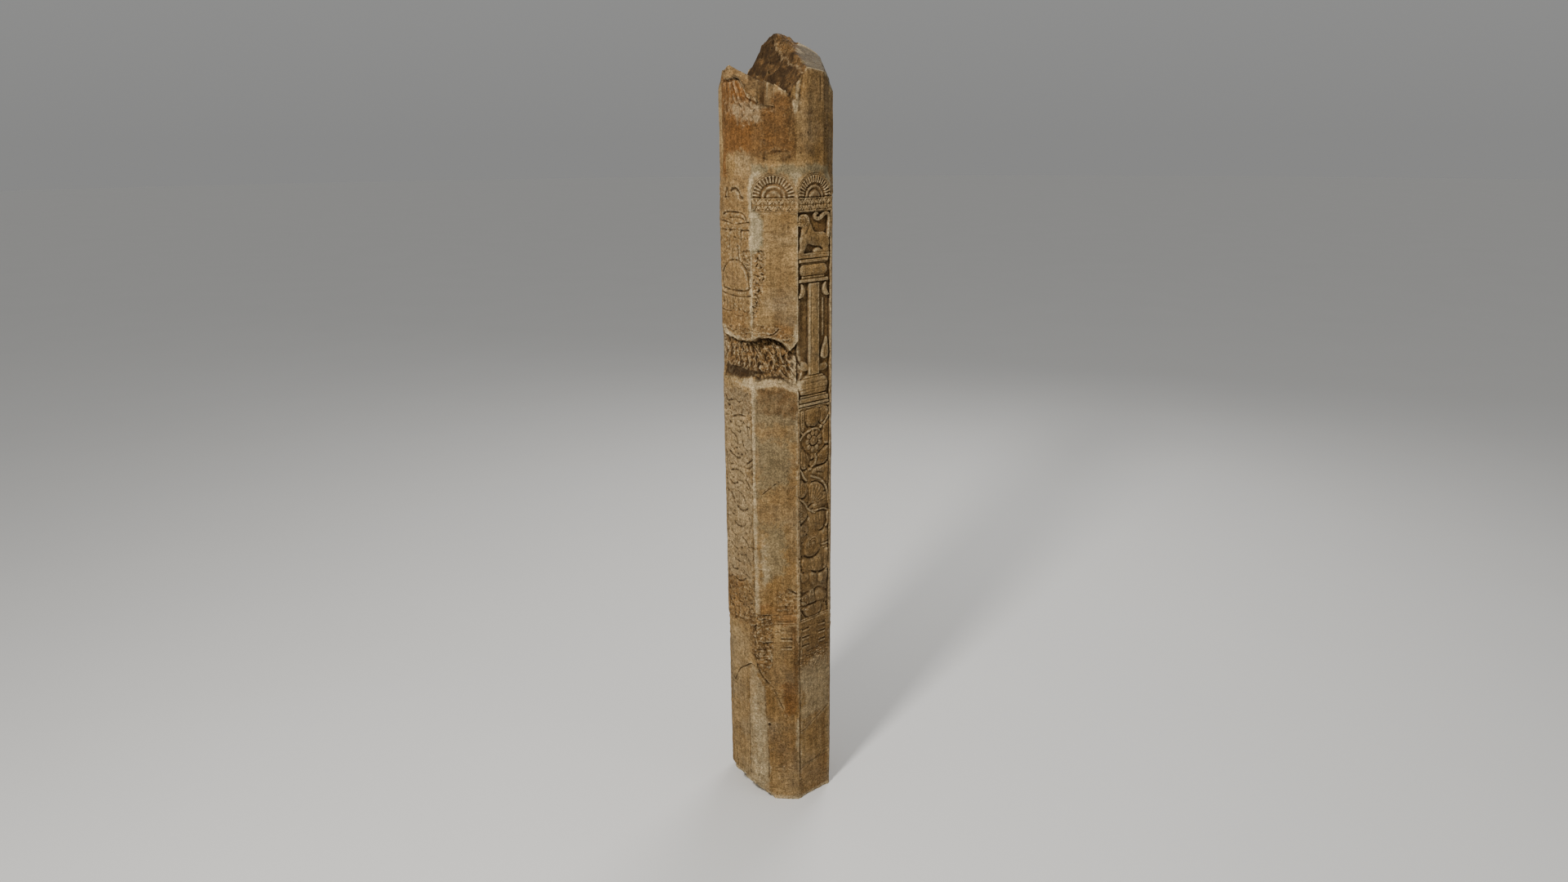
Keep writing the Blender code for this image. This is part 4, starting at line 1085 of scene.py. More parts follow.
def notch(place, z):
    """How deep the rough notch cuts in."""
    along = place * FACE_WIDTH
    roof = np.interp(place, NOTCH_PLACES, NOTCH_ROOFS) + 4.5 * rough(along, 0.0, 3.0, 16, 21)
    ledge = np.interp(place, NOTCH_PLACES, NOTCH_LEDGES) + 1.6 * rough(along, 9.0, 3.0, 26, 22)
    depth = np.interp(place, NOTCH_PLACES, NOTCH_DEPTHS, left=0, right=0)
    share = (z - ledge) / np.maximum(roof - ledge, 1)
    left = smooth((-0.42 - place) / 0.2)
    profile = np.interp(share, RISE_SHARES, FRONT_DEPTHS) * (1 - left)
    profile = profile + np.interp(share, RISE_SHARES, LEFT_DEPTHS) * left
    bend_u = along + 7 * rough(along, z, 2.0, 34, 28, 2)
    slant = bend_u + np.interp(along, (-200, -60, 80), (0.05, 0.40, 0.62)) * (z - 1450)
    ridges = 2 * np.abs(noise(slant, z * 0.35, 0.0, 27, 23)) - 0.6
    fine = 2 * np.abs(noise(slant, z * 0.6, 5.0, 9, 24)) - 0.6
    breaks = facets(slant + 3 * fine, z * 0.6, 22, 25) + 0.4 * facets(slant + 2 * ridges, z * 0.8, 8.5, 26)
    inside = smooth((share - 0.08) / 0.2) * smooth((1.0 - share) / 0.08)
    ledge_grain = smooth(share / 0.05) * (1 - inside) * 1.2 * rough(along, z * 2, 1.0, 8, 29)
    roughness = inside * np.clip(depth / 12, 0, 1) * (4.2 * ridges + 1.0 * fine + 6.0 * breaks)
    hollows = np.zeros(share.shape)
    for u, height, radius, deep in NOTCH_HOLLOWS:
        away = ((bend_u - u)**2 + ((z - height) * 0.75)**2) / radius**2
        hollows += deep * np.clip(1 - away, 0, 1)
    cut = depth * profile + roughness + hollows * inside + ledge_grain
    return np.clip(cut, 0, None) * (share > 0) * (share < 1)


def foot_chip(x, y):
    """Height of the broken corner of the foot over the plan, 0 where it is whole."""
    corner = np.array((-INRADIUS, -HALF_FACE, 70.0))
    front = np.array((-HALF_FACE * 0.15, -INRADIUS, 0.0))
    back = np.array((-INRADIUS, HALF_FACE * 0.85, 0.0))
    normal = np.cross(front - corner, back - corner)
    height = corner[2] - (normal[0] * (x - corner[0]) + normal[1] * (y - corner[1])) / normal[2]
    height = height + 2.5 * rough(x, y, 0.0, 22, 31) * smooth(height / 8)
    return np.clip(height, 0, None)


# The mesh


def columns_round():
    """For each column of the grid: its face and its u."""
    numbers, us = [], []
    for number in FACES:
        step = FINE if number in SHOWN_FACES else COARSE
        count = round(FACE_WIDTH / step)
        numbers += [number] * count
        us += [-HALF_FACE + FACE_WIDTH * index / count for index in range(count)]
    return np.array(numbers), np.array(us)


def carved_levels(numbers, us, heights):
    """The level of every point of the level rows."""
    levels = np.zeros((len(heights), len(us)))
    for number in FACES:
        mine = numbers == number
        face = Face(number, us[mine], heights)
        CARVERS[number](face)
        side = smooth((HALF_FACE - np.abs(face.u)) / 3.0)
        levels[:, mine] = face.level * side[None, :]
    return levels


def blurred(values, reach):
    """Values smoothed by a moving mean, round the shaft along the columns."""
    for axis, mode in ((0, 'edge'), (1, 'wrap')):
        margins = [(0, 0), (0, 0)]
        margins[axis] = (reach, reach)
        total = np.cumsum(np.pad(values, margins, mode), axis)
        total = np.insert(total, 0, 0, axis)
        width = 2 * reach + 1
        high = np.take(total, range(width, total.shape[axis]), axis)
        low = np.take(total, range(0, total.shape[axis] - width), axis)
        values = (high - low) / width
    return values


def carved_rows(numbers, us, bottom, top):
    """Heights of the grid's rows over its columns, and the carved level of each point."""
    low_count = int(LEVEL_LOW / END_STEP)
    high_count = int((HEAD_LOW + HEAD_HEIGHT * 0.75 - LEVEL_TOP) / END_STEP)
    low_rows = np.linspace(0, 1, low_count + 1)[:-1, None]
    high_rows = np.linspace(0, 1, high_count + 1)[1:, None]
    heights = np.linspace(LEVEL_LOW, LEVEL_TOP, int((LEVEL_TOP - LEVEL_LOW) / ROW_STEP) + 1)
    z = np.concatenate((
        bottom + (LEVEL_LOW - bottom) * low_rows,
        np.repeat(heights[:, None], len(us), 1),
        LEVEL_TOP + (top - LEVEL_TOP) * high_rows,
    ))
    levels = np.zeros(z.shape)
    levels[low_count:low_count + len(heights)] = carved_levels(numbers, us, heights)
    carve_head(numbers, us, z, levels)
    return z, levels


def stone_points():
    """Points of the shaft's grid, row by row, with the hollowness of each."""
    numbers, us = columns_round()
    turns = numbers * EIGHTH
    outline_x = INRADIUS * np.sin(turns) + us * np.cos(turns)
    outline_y = -INRADIUS * np.cos(turns) + us * np.sin(turns)
    near_head = np.full((1, len(us)), HEAD_LOW + 60.0)
    head_scale = section_scale(outline_x[None, :], outline_y[None, :], near_head)[0]
    top = head_surface(outline_x * head_scale, outline_y * head_scale)
    bottom = foot_chip(outline_x, outline_y)
    z, levels = carved_rows(numbers, us, bottom, top)
    place = numbers + us / FACE_WIDTH
    scale = section_scale(outline_x[None, :], outline_y[None, :], z)
    x, y = outline_x * scale, outline_y * scale
    loss = notch(place[None, :], z)
    loss = loss + 0.7 * rough(x, y, z, 85, 3, 3)
    loss = loss + chips(numbers, us, z) + ragged_foot(numbers, us, z - bottom)
    lost = np.hypot(x, y)
    x, y = x * (1 - loss / lost), y * (1 - loss / lost)
    x = x + levels * np.sin(turns)
    y = y - levels * np.cos(turns)
    cut = loss - levels
    reach = 5
    hollow = cut - blurred(cut, reach)
    return np.stack((x, y, z), -1), hollow, cut


# Flakes of the head's faces: face, depth, width of their edge, outline
HEAD_FLAKES = (
    (-1, 5.0, 2.2, (8, 2352), (24, 2349), (38, 2334), (52, 2306), (64, 2294), (76, 2290), (76, 2266),
     (52, 2276), (34, 2292), (22, 2318), (10, 2338)),
    (-1, 4.5, 5.0, (-34, 2342), (-20, 2346), (-14, 2330), (-16, 2296), (-24, 2262), (-34, 2266),
     (-32, 2300)),
    (-1, 3.0, 4.0, (-8, 2342), (-2, 2336), (0, 2306), (-6, 2284), (-12, 2300)),
    (0, 2.4, 3.0, (-76, 2306), (-60, 2292), (-40, 2280), (-18, 2275), (2, 2272), (-4, 2262),
     (-30, 2264), (-52, 2262), (-76, 2270)),
    (0, 2.0, 4.0, (-58, 2262), (-52, 2240), (-50, 2216), (-60, 2226), (-66, 2250)),
)
# Cracks and edges there: face, width, depth, path
HEAD_CRACKS = (
    (-1, 5.0, 5.5, (-54, 2345), (-40, 2347), (-20, 2347), (0, 2349), (18, 2349), (34, 2334), (48, 2304),
     (64, 2287)),
    (-1, 7.0, 6.0, (-12, 2348), (-2, 2331), (9, 2308), (22, 2286), (34, 2266), (38, 2248)),
    (-1, 7.0, 4.0, (-36, 2342), (-35, 2318), (-38, 2292)),
    (0, 4.5, 3.2, (-70, 2290), (-56, 2284), (-40, 2277), (-18, 2272), (4, 2270)),
    (-1, 5.0, 1.6, (-44, 2330), (-42, 2260), (-44, 2160), (-43, 2096)),
    (-1, 4.0, 2.0, (-5, 2300), (10, 2282), (28, 2276), (46, 2268)),
    (1, 4.0, 2.0, (22, 2356), (24, 2320), (22, 2290)),
    (1, 4.0, 1.4, (42, 2330), (40, 2250), (42, 2180), (41, 2110)),
    (1, 5.0, 2.4, (-44, 2350), (-52, 2310), (-56, 2262)),
    (0, 4.0, 1.4, (58, 2290), (56, 2250), (50, 2200), (42, 2170)),
    (0, 4.4, 2.4, (-5, 2147), (20, 2149), (44, 2147)),
    (0, 3.6, 1.6, (-30, 2172), (-26, 2150), (-27, 2120)),
)
# Pits there: face, radius, depth, places
HEAD_PITS = (
    (0, 5, 3.0, (50, 2131), (20, 2147), (-25, 2180), (-24, 2128), (-56, 2262)),
    (1, 4, 3.0, (50, 2212), (49, 2203), (51, 2190), (50, 2182), (-26, 2200), (-52, 2144)),
    (-1, 5, 2.0, (38, 2108), (-10, 2110), (30, 2280), (48, 2262)),
)


def carve_head(numbers, us, z, levels):
    """Flakes, cracks and pits of the head's faces, above the level rows."""
    for number, depth, edge, *outline in HEAD_FLAKES:
        mine = numbers == number
        up = z[:, mine]
        inside = depth_inside(us[None, mine], up, bend(outline, True))
        levels[:, mine] -= depth * smooth(inside / edge + 0.5) * (up > LEVEL_TOP)
    for number, width, depth, *path in HEAD_CRACKS:
        mine = numbers == number
        away = path_distance(us[None, mine], z[:, mine], bend(path)) / width
        levels[:, mine] -= depth * mound(away)
    for number, radius, depth, *centres in HEAD_PITS:
        mine = numbers == number
        for u, height in centres:
            away = (us[None, mine] - u)**2 + (z[:, mine] - height)**2
            levels[:, mine] -= depth * np.clip(1 - away / radius**2, 0, 1)


# Outlines that several of the tables below use
FOOT_BREAK = [(-72, 690), (-16, 690), (-12, 600), (-22, 500), (-40, 470), (-72, 520)]
ARRIS_BREAK = [(-72, 1870), (-40, 1866), (-30, 1800), (-44, 1700), (-60, 1640), (-72, 1640)]
RAIL_BREAK = [(-4, 772), (72, 784), (72, 694), (0, 700)]
LION_FOOT_BREAK = [(-66, 548), (66, 550), (66, 498), (20, 476), (-66, 504)]
LION_FOOT_STAIN = [(-60, 500), (72, 520), (72, 320), (-66, 300)]
ABOVE_LOTUS = [(-80, 2110), (80, 2110), (80, 2030), (58, 2064), (30, 2090), (-30, 2090), (-58, 2064),
               (-80, 2030)]
# Where the surface is rough: face, outline, how rough, size of its bumps
ROUGH_PATCHES = (
    (-1, box(-72, 2040, 72, 40), 0.9, 8),
    (-1, box(-72, 1960, 40, 1835), 1.4, 10),
    (-1, [(18, 1850), (72, 1870), (72, 1760), (52, 1790), (34, 1830)], 2.2, 9),
    (0, ARRIS_BREAK, 1.0, 8),
    (0, FOOT_BREAK, 3.2, 13),
    (0, [(-4, 790), (70, 800), (70, 690), (10, 700)], 1.6, 12),
    (-1, [(-72, 800), (72, 790), (72, 640), (-72, 640)], 1.8, 15),
    (-1, box(-72, 1715, 72, 1600), 1.4, 14),
    (-1, box(-60, 1960, 72, 1835), 1.2, 11),
    (-1, box(-72, 1450, 72, 1340), 1.2, 13),
    (-1, box(-72, 640, 72, 60), 1.0, 22),
    (0, [(-72, 470), (72, 560), (72, 20), (-72, 20)], 0.9, 20),
    (1, box(-72, 540, 72, 20), 1.0, 18),
    (0, [(-72, 1600), (-20, 1622), (30, 1606), (70, 1640), (72, 1590), (-72, 1580)], 1.8, 10),
    (-1, [(-72, 2350), (72, 2350), (72, 2220), (-72, 2240)], 1.1, 9),
    (0, [(-72, 2400), (0, 2400), (0, 2240), (-72, 2220)], 1.4, 12),
    (1, [(-72, 2400), (-40, 2380), (-46, 2240), (-72, 2240)], 1.8, 12),
)


# Where it is broken into small flat breaks: face, outline, how deep, size of the breaks
RUBBLE_PATCHES = (
    (0, [(-58, 1868), (-24, 1868), (-24, 1800), (-36, 1740), (-48, 1690), (-62, 1652), (-72, 1664),
     (-66, 1730), (-56, 1800)], 2.6, 9),
    (0, FOOT_BREAK, 3.6, 17),
    (0, RAIL_BREAK, 2.2, 16),
    (-1, [(30, 700), (72, 700), (72, 520), (46, 540)], 3.2, 17),
    (0, [(-72, 1650), (12, 1640), (40, 1612), (72, 1640), (72, 1560), (-72, 1580)], 2.6, 11),
    (-1, [(-72, 1636), (72, 1630), (72, 1580), (-72, 1590)], 2.2, 10),
    (-1, [(-72, 690), (30, 700), (30, 640), (-72, 640)], 1.6, 14),
    (1, LION_FOOT_BREAK, 2.2, 9),
    (1, [(-70, 770), (-30, 760), (-26, 690), (-70, 680)], 2.0, 9),
    (0, ARRIS_BREAK, 1.0, 9),
    (-1, [(16, 1856), (72, 1876), (72, 1750), (56, 1780), (34, 1824)], 2.6, 9),
    (-1, box(-72, 1712, 60, 1676), 1.2, 9),
    (-1, box(-72, 1440, 66, 1330), 1.2, 12),
    (-1, box(-72, 1220, 66, 700), 0.9, 10),
)


def chips(numbers, us, z):
    """Loss from rough patches, dressing and knocked arrises."""
    loss = np.zeros(z.shape)
    for number, outline, depth, size in RUBBLE_PATCHES:
        mine = numbers == number
        u, up = us[None, mine], z[:, mine]
        heights = [point[1] for point in outline]
        rows = (up[:, 0] > min(heights) - 20) & (up[:, 0] < max(heights) + 20)
        up = up[rows]
        share = smooth(depth_inside(u, up, outline) / 10 + 0.5)
        shift = rough(u, number * 90.0, up, size * 1.6, 66, 2)
        breaks = facets(0.6 * u + number * 400.0 + 5 * shift, 1.55 * up - 5 * shift, size, 67)
        breaks = breaks + 0.4 * facets(u + 3 * shift, up + number * 90.0, size * 0.45, 68)
        loss[np.ix_(rows, mine)] += depth * share * (breaks + 0.25)
    for number, outline, height, size in ROUGH_PATCHES:
        mine = numbers == number
        u, up = us[None, mine], z[:, mine]
        share = smooth(depth_inside(u, up, outline) / 14 + 0.5)
        bumps = rough(number * 400.0 + u, 0.0, up, size, 61)
        loss[:, mine] += height * share * (bumps * 0.8 + 0.15)
    along = (numbers * FACE_WIDTH + us)[None, :]
    loss += 0.45 * rough(along, 0.0, z, 9, 64, 2)
    near_arris = smooth((np.abs(us) - HALF_FACE + 14) / 14)[None, :]
    place = (numbers + us / FACE_WIDTH)[None, :] * FACE_WIDTH
    knocks = rough(place, 0.0, z * 0.55, 15, 71, 2)
    loss += 3.4 * near_arris * np.clip(knocks - 0.42, 0, None)
    return loss


def ragged_foot(numbers, us, above):
    """Loss along the lower edge of the shown faces."""
    along = (numbers * FACE_WIDTH + us)[None, :]
    breaks = rough(along, above * 0.5, 0.0, 30, 75, 3) + 0.5 * facets(along, above, 9, 76) + 0.15
    return 6 * smooth(1 - above / 22) * np.clip(breaks, 0, None) * np.isin(numbers, (-2, -1, 0, 1))[None, :]


def grid_faces(rows, columns):
    """Four-sided faces of a grid that closes on itself along its columns."""
    index = np.arange(rows * columns).reshape(rows, columns)
    following = np.roll(index, -1, 1)
    return np.stack((index[:-1], following[:-1], following[1:], index[1:]), -1).reshape(-1, 4)


def cap_points(rim, surface, rings):
    """Rings of points from the rim to the middle, at the height of a surface."""
    shares = np.linspace(1, 0, rings + 1)[1:-1, None]
    x, y = rim[None, :, 0] * shares, rim[None, :, 1] * shares
    blend = smooth((1 - shares) * 14)
    z = surface(x, y) * blend + rim[None, :, 2] * (1 - blend)
    return np.stack((x, y, z), -1)


def closed_faces(rows, columns):
    """Corners and sizes of the faces of a grid whose two ends close in one more point each."""
    quads = grid_faces(rows, columns)
    ring = np.arange(columns)
    following = np.roll(ring, -1)
    low_middle, high_middle = rows * columns, rows * columns + 1
    low_fan = np.stack((np.full(columns, low_middle), following, ring), -1)
    last = (rows - 1) * columns
    high_fan = np.stack((np.full(columns, high_middle), last + ring, last + following), -1)
    corners = np.concatenate((quads.ravel(), low_fan.ravel(), high_fan.ravel()))
    sizes = np.concatenate((np.full(len(quads), 4), np.full(2 * columns, 3)))
    return corners, sizes


def new_mesh(points, corners, sizes):
    mesh = bpy.data.meshes.new(NODE + "_stone")
    mesh.vertices.add(len(points))
    mesh.vertices.foreach_set("co", (points * MM).astype(np.float32).ravel())
    mesh.loops.add(len(corners))
    mesh.loops.foreach_set("vertex_index", corners.astype(np.int32))
    mesh.polygons.add(len(sizes))
    starts = np.concatenate(((0,), np.cumsum(sizes)[:-1])).astype(np.int32)
    mesh.polygons.foreach_set("loop_start", starts)
    mesh.update(calc_edges=True)
    mesh.validate()
    return mesh


def build_mesh():
    """The closed mesh of the stone, with the hollowness and the loss of its points."""
    points, hollow, cut = stone_points()
    rows, columns = points.shape[:2]
    rings = int(INRADIUS / (END_STEP * 0.9))
    top = cap_points(points[-1], head_surface, rings)
    floor = cap_points(points[0], foot_chip, rings // 2)
    body = np.concatenate((floor[::-1], points, top))
    middle = np.zeros(1)
    ends = [(0, 0, float(surface(middle, middle)[0])) for surface in (foot_chip, head_surface)]
    mesh = new_mesh(np.concatenate((body.reshape(-1, 3), ends)), *closed_faces(len(body), columns))
    first = len(floor) * columns
    for name, values in (("hollow", hollow), ("cut", cut)):
        marks = np.zeros(len(mesh.vertices), np.float32)
        marks[first:first + rows * columns] = values.ravel()
        mesh.attributes.new(name, 'FLOAT', 'POINT').data.foreach_set("value", marks)
    return mesh


def thinned(piece):
    """Thins the mesh to what the export takes."""
    triangles = sum(len(polygon.vertices) - 2 for polygon in piece.data.polygons)
    modifier = piece.modifiers.new("thin", 'DECIMATE')
    modifier.ratio = MOST_FACES / triangles
    modifier.use_collapse_triangulate = True
    mesh = bpy.data.meshes.new_from_object(piece.evaluated_get(bpy.context.evaluated_depsgraph_get()))
    piece.modifiers.clear()
    piece.data = mesh
    mesh.name = NODE + "_stone"


# Colour zones: face, outline, softness of its edge, strength
PALE_ZONES = (
    (-1, [(62, 2092), (80, 2092), (80, 1880), (66, 1880), (64, 2030)], 4, 0.95),
    (0, [(-80, 2086), (-66, 2070), (-68, 2040), (-66, 1990), (-46, 1972), (-36, 1950), (-36, 1900),
     (-44, 1866), (-80, 1856)], 5, 0.62),
    (0, [(-80, 2092), (-65, 2086), (-65, 700), (-80, 700)], 2, 0.95),
    (0, box(65, 1372, 80, 600), 2, 0.5),
    (1, box(66, 1372, 80, 20), 2, 0.55),
    (-1, [(65, 1900), (80, 1900), (80, 1600), (66, 1600)], 3, 0.9),
    (0, [(-80, 2094), (-40, 2090), (-58, 2068), (-70, 2036), (-80, 2036)], 6, 0.6),
    (0, [(80, 2092), (44, 2088), (58, 2068), (70, 2036), (80, 2036)], 6, 0.5),
    (1, [(-80, 2092), (-44, 2088), (-58, 2068), (-70, 2036), (-80, 2036)], 6, 0.5),
    (1, [(80, 2094), (50, 2086), (60, 2066), (70, 2036), (80, 2036)], 6, 0.45),
    (-1, [(-20, 2140), (60, 2140), (62, 2084), (20, 2084)], 20, 0.18),
    (-1, [(-80, 1440), (60, 1440), (62, 800), (-80, 800)], 26, 0.42),
    (1, LION_FOOT_STAIN, 24, 0.34),
    (-1, [(-20, 2290), (30, 2280), (76, 2290), (76, 2230), (44, 2236), (10, 2240), (-24, 2262)], 20, 0.44),
    (-1, box(66, 2092, 80, 1500), 1, 1.0),
    (0, [(-80, 2092), (-67, 2086), (-67, 1500), (-80, 1500)], 1, 1.0),
    (0, [(-76, 2290), (-36, 2276), (-30, 2232), (-76, 2230)], 12, 0.42),
    (1, [(-76, 2360), (-48, 2350), (-52, 2300), (-60, 2254), (-76, 2254)], 10, 0.65),
    (0, [(70, 2290), (58, 2290), (64, 2240), (76, 2240)], 6, 0.7),
    (0, [(-80, 1480), (-40, 1480), (0, 1485), (40, 1482), (80, 1478), (80, 1430), (62, 1436), (40, 1449),
     (20, 1458), (-30, 1455), (-56, 1448), (-80, 1448)], 2, 0.74),
    (-1, [(16, 1470), (80, 1478), (80, 1450), (14, 1448)], 2, 0.74),
    (1, [(-76, 1550), (-50, 1516), (-54, 1450), (-66, 1424), (-80, 1424)], 8, 0.9),
    (-1, [(-76, 1628), (-40, 1598), (10, 1590), (10, 1600), (-40, 1610), (-66, 1634)], 5, 1.0),
    (0, [(58, 1640), (76, 1650), (76, 1560), (42, 1556), (56, 1580)], 5, 0.9),
    (0, [(-80, 1450), (-62, 1446), (-65, 1200), (-60, 900), (-56, 690), (-80, 690)], 3, 0.6),
    (-1, [(63, 1450), (80, 1450), (80, 690), (66, 690)], 4, 0.8),
    (0, [(-46, 980), (-34, 960), (-30, 820), (-40, 770), (-52, 900)], 10, 0.5),
    (-1, [(34, 520), (80, 480), (80, 20), (34, 20), (32, 240)], 6, 0.50),
    (0, [(-80, 480), (-46, 430), (-34, 200), (-28, 20), (-80, 20)], 6, 0.50),
    (-1, [(48, 400), (80, 400), (80, 30), (52, 30)], 14, 0.78),
    (0, [(-80, 330), (-50, 300), (-40, 30), (-80, 30)], 14, 0.78),
    (-1, [(-80, 620), (34, 600), (34, 40), (-80, 60)], 24, 0.18),
    (0, [(-26, 560), (-14, 540), (-18, 520), (-28, 530)], 5, 0.7),
    (0, [(60, 310), (76, 330), (76, 180), (62, 200)], 6, 0.7),
)
OLIVE_ZONES = (
    (0, ABOVE_LOTUS, 10, 0.7),
    (1, ABOVE_LOTUS, 10, 0.7),
    (0, [(-70, 1440), (72, 1430), (72, 1330), (-70, 1330)], 24, 0.5),
    (0, [(-60, 1290), (60, 1290), (40, 1140), (-60, 1100)], 30, 0.6),
    (0, [(-50, 1010), (30, 1010), (30, 820), (-50, 800)], 26, 0.5),
    (-1, [(-80, 1512), (16, 1500), (66, 1490), (16, 1462), (-80, 1462)], 4, 0.5),
    (1, LION_FOOT_STAIN, 24, 0.22),
    (0, [(-80, 2086), (-62, 2080), (-66, 1990), (-44, 1976), (-32, 1950), (-32, 1896), (-40, 1862),
     (-80, 1850)], 6, 0.9),
    (0, [(-80, 480), (-46, 430), (-34, 200), (-28, 60), (-80, 40)], 6, 0.25),
)
ROCK_ZONES = (
    (0, FOOT_BREAK, 8, 0.9),
    (0, RAIL_BREAK, 8, 0.6),
    (-1, [(30, 700), (80, 700), (80, 520), (46, 540)], 8, 0.8),
    (1, LION_FOOT_BREAK, 7, 0.7),
    (1, [(-72, 770), (-30, 760), (-26, 690), (-72, 680)], 8, 0.6),
    (0, [(-66, 1870), (-36, 1866), (-28, 1800), (-42, 1700), (-58, 1640), (-68, 1640)], 6, 0.5),
    (-1, box(-80, 2080, 66, 1600), 20, 0.40),
    (-1, box(-80, 1440, 66, 1330), 12, 0.65),
    (-1, box(-80, 1250, 66, 660), 20, 0.30),
    (-1, box(-80, 740, 66, 640), 14, 0.6),
)
ORANGE_ZONES = (
    (-1, box(-80, 2400, 80, 2146), 16, 0.9),
    (-1, box(-80, 2340, -38, 2080), 10, 1.0),
    (0, [(-80, 2400), (-20, 2320), (50, 2300), (50, 2150), (-80, 2146)], 16, 0.7),
    (0, [(-60, 1640), (60, 1640), (60, 1590), (-60, 1596)], 20, 0.3),
    (-1, [(-80, 1690), (60, 1680), (50, 1600), (-80, 1620)], 20, 0.35),
    (0, [(-60, 720), (70, 740), (70, 660), (-60, 656)], 16, 0.5),
    (-1, box(-80, 800, 0, 640), 22, 0.45),
    (0, [(14, 440), (62, 446), (60, 326), (22, 316)], 12, 0.50),
    (0, [(-10, 250), (60, 260), (60, 120), (-14, 130)], 26, 0.16),
    (1, [(-64, 120), (64, 124), (64, 12), (-64, 12)], 3, 0.22),
)
DARK_ZONES = (
    # Painted shade: the scroll on the face with the lion is darkened, as this face is turned from the
    # light.
    (1, box(-90, 1372, 90, 540), 16, 0.42),
    (0, [(-60, 1452), (90, 1446), (90, 1350), (-60, 1370)], 14, 0.85),
    (-1, box(-80, 2084, 64, 1500), 20, 0.18),
    (0, box(-90, 1400, 90, 1000), 40, 0.22),
    (0, [(-90, 600), (90, 640), (90, 20), (-90, 20)], 40, 0.34),
    (0, [(-47, 430), (-35, 200), (-29, 20), (-25, 20), (-31, 200), (-43, 430)], 2, 0.8),
    (-1, [(31, 500), (31, 240), (34, 30), (37, 30), (34, 240), (34, 500)], 2, 0.6),
    (0, [(-10, 112), (44, 113), (44, 108), (-10, 107)], 1.5, 0.8),
    (1, [(-66, 130), (66, 134), (66, 129), (-66, 125)], 1.5, 0.8),
    (1, box(-80, 2380, 80, 2120), 20, 0.30),
    (0, [(-80, 2330), (80, 2300), (80, 2130), (-80, 2130)], 20, 0.86),
    (0, [(-62, 655), (-16, 655), (-20, 480), (-44, 470), (-66, 560)], 12, 0.45),
    (1, [(-70, 548), (70, 552), (70, 498), (30, 470), (0, 500), (-70, 500)], 6, 0.75),
    (-1, box(-60, 1238, 66, 1190), 10, 0.4),
    (-1, [(-70, 1430), (60, 1430), (60, 1350), (-70, 1360)], 14, 0.8),
    (-1, [(-60, 2340), (80, 2290), (80, 2140), (-60, 2140)], 20, 0.58),
    (1, box(-80, 1372, -65, 20), 2, 0.75),
    (0, [(-62, 690), (-14, 690), (-16, 652), (-60, 650)], 9, 0.75),
    (0, [(46, 2240), (76, 2240), (76, 2150), (40, 2160)], 16, 0.45),
    (1, [(-76, 2230), (-46, 2230), (-40, 2150), (-76, 2150)], 16, 0.45),
    (0, [(-72, 655), (-20, 655), (-20, 560), (-60, 540)], 14, 0.4),
    (1, [(-72, 560), (72, 540), (72, 470), (-72, 480)], 20, 0.5),
    (0, [(44, 650), (80, 650), (80, 400), (52, 420)], 10, 0.95),
    (0, [(-52, 2334), (-26, 2326), (-26, 2290), (-46, 2296)], 5, 0.8),
    (0, [(-56, 1640), (8, 1634), (10, 1596), (-60, 1592)], 6, 0.5),
    # Painted shadow at the back of the ledge below the notch and on its left part.
    (-1, [(-80, 1530), (40, 1516), (70, 1504), (70, 1484), (40, 1486), (-80, 1490)], 8, 0.9),
    (-1, [(-80, 1506), (16, 1498), (60, 1490), (24, 1468), (-80, 1466)], 4, 1.0),
    (0, [(-70, 1500), (70, 1500), (70, 1484), (0, 1489), (-70, 1484)], 5, 0.9),
    (-1, [(38, 690), (80, 690), (80, 500), (54, 540)], 8, 0.7),
)


# Heights for the marks: the top of the carving, the ends of the deep stone in the notch, the
# foot of the broken head
CARVING_TOP = 2090
NOTCH_LOW, NOTCH_HIGH = 1470, 1625
BREAK_LOW = 2250
# The left part of the ledge below the notch, darkened: painted shadow from the notch above
LEDGE_SHADOW_ZONES = (
    (-1, [(-80, 1508), (16, 1500), (60, 1492), (30, 1474), (-20, 1468), (-80, 1480)], 4, 0.55),
    (0, [(-80, 1496), (-30, 1492), (-10, 1486), (-80, 1482)], 3, 0.4),
)


def read_values(items, name, width=1):
    """One number, or one row of numbers, for each item of a mesh."""
    values = np.zeros(len(items) * width, np.float32)
    items.foreach_get(name, values)
    return values.reshape(-1, width) if width > 1 else values


def edge_bends(mesh, points):
    """How far the surface bends at each point: positive in a crease, negative on an edge."""
    count = len(mesh.vertices)
    ends = np.zeros(len(mesh.edges) * 2, np.int32)
    mesh.edges.foreach_get("vertices", ends)
    first, second = ends.reshape(-1, 2).T
    normals = read_values(mesh.vertices, "normal", 3)
    step = points[second] - points[first]
    length = np.maximum(np.linalg.norm(step, axis=1), 1e-6)
    step = step / length[:, None]
    total, number = np.zeros(count), np.zeros(count)
    np.add.at(total, first, (normals[first] * step).sum(1))
    np.add.at(total, second, -(normals[second] * step).sum(1))
    np.add.at(number, first, 1)
    np.add.at(number, second, 1)
    return total / np.maximum(number, 1)


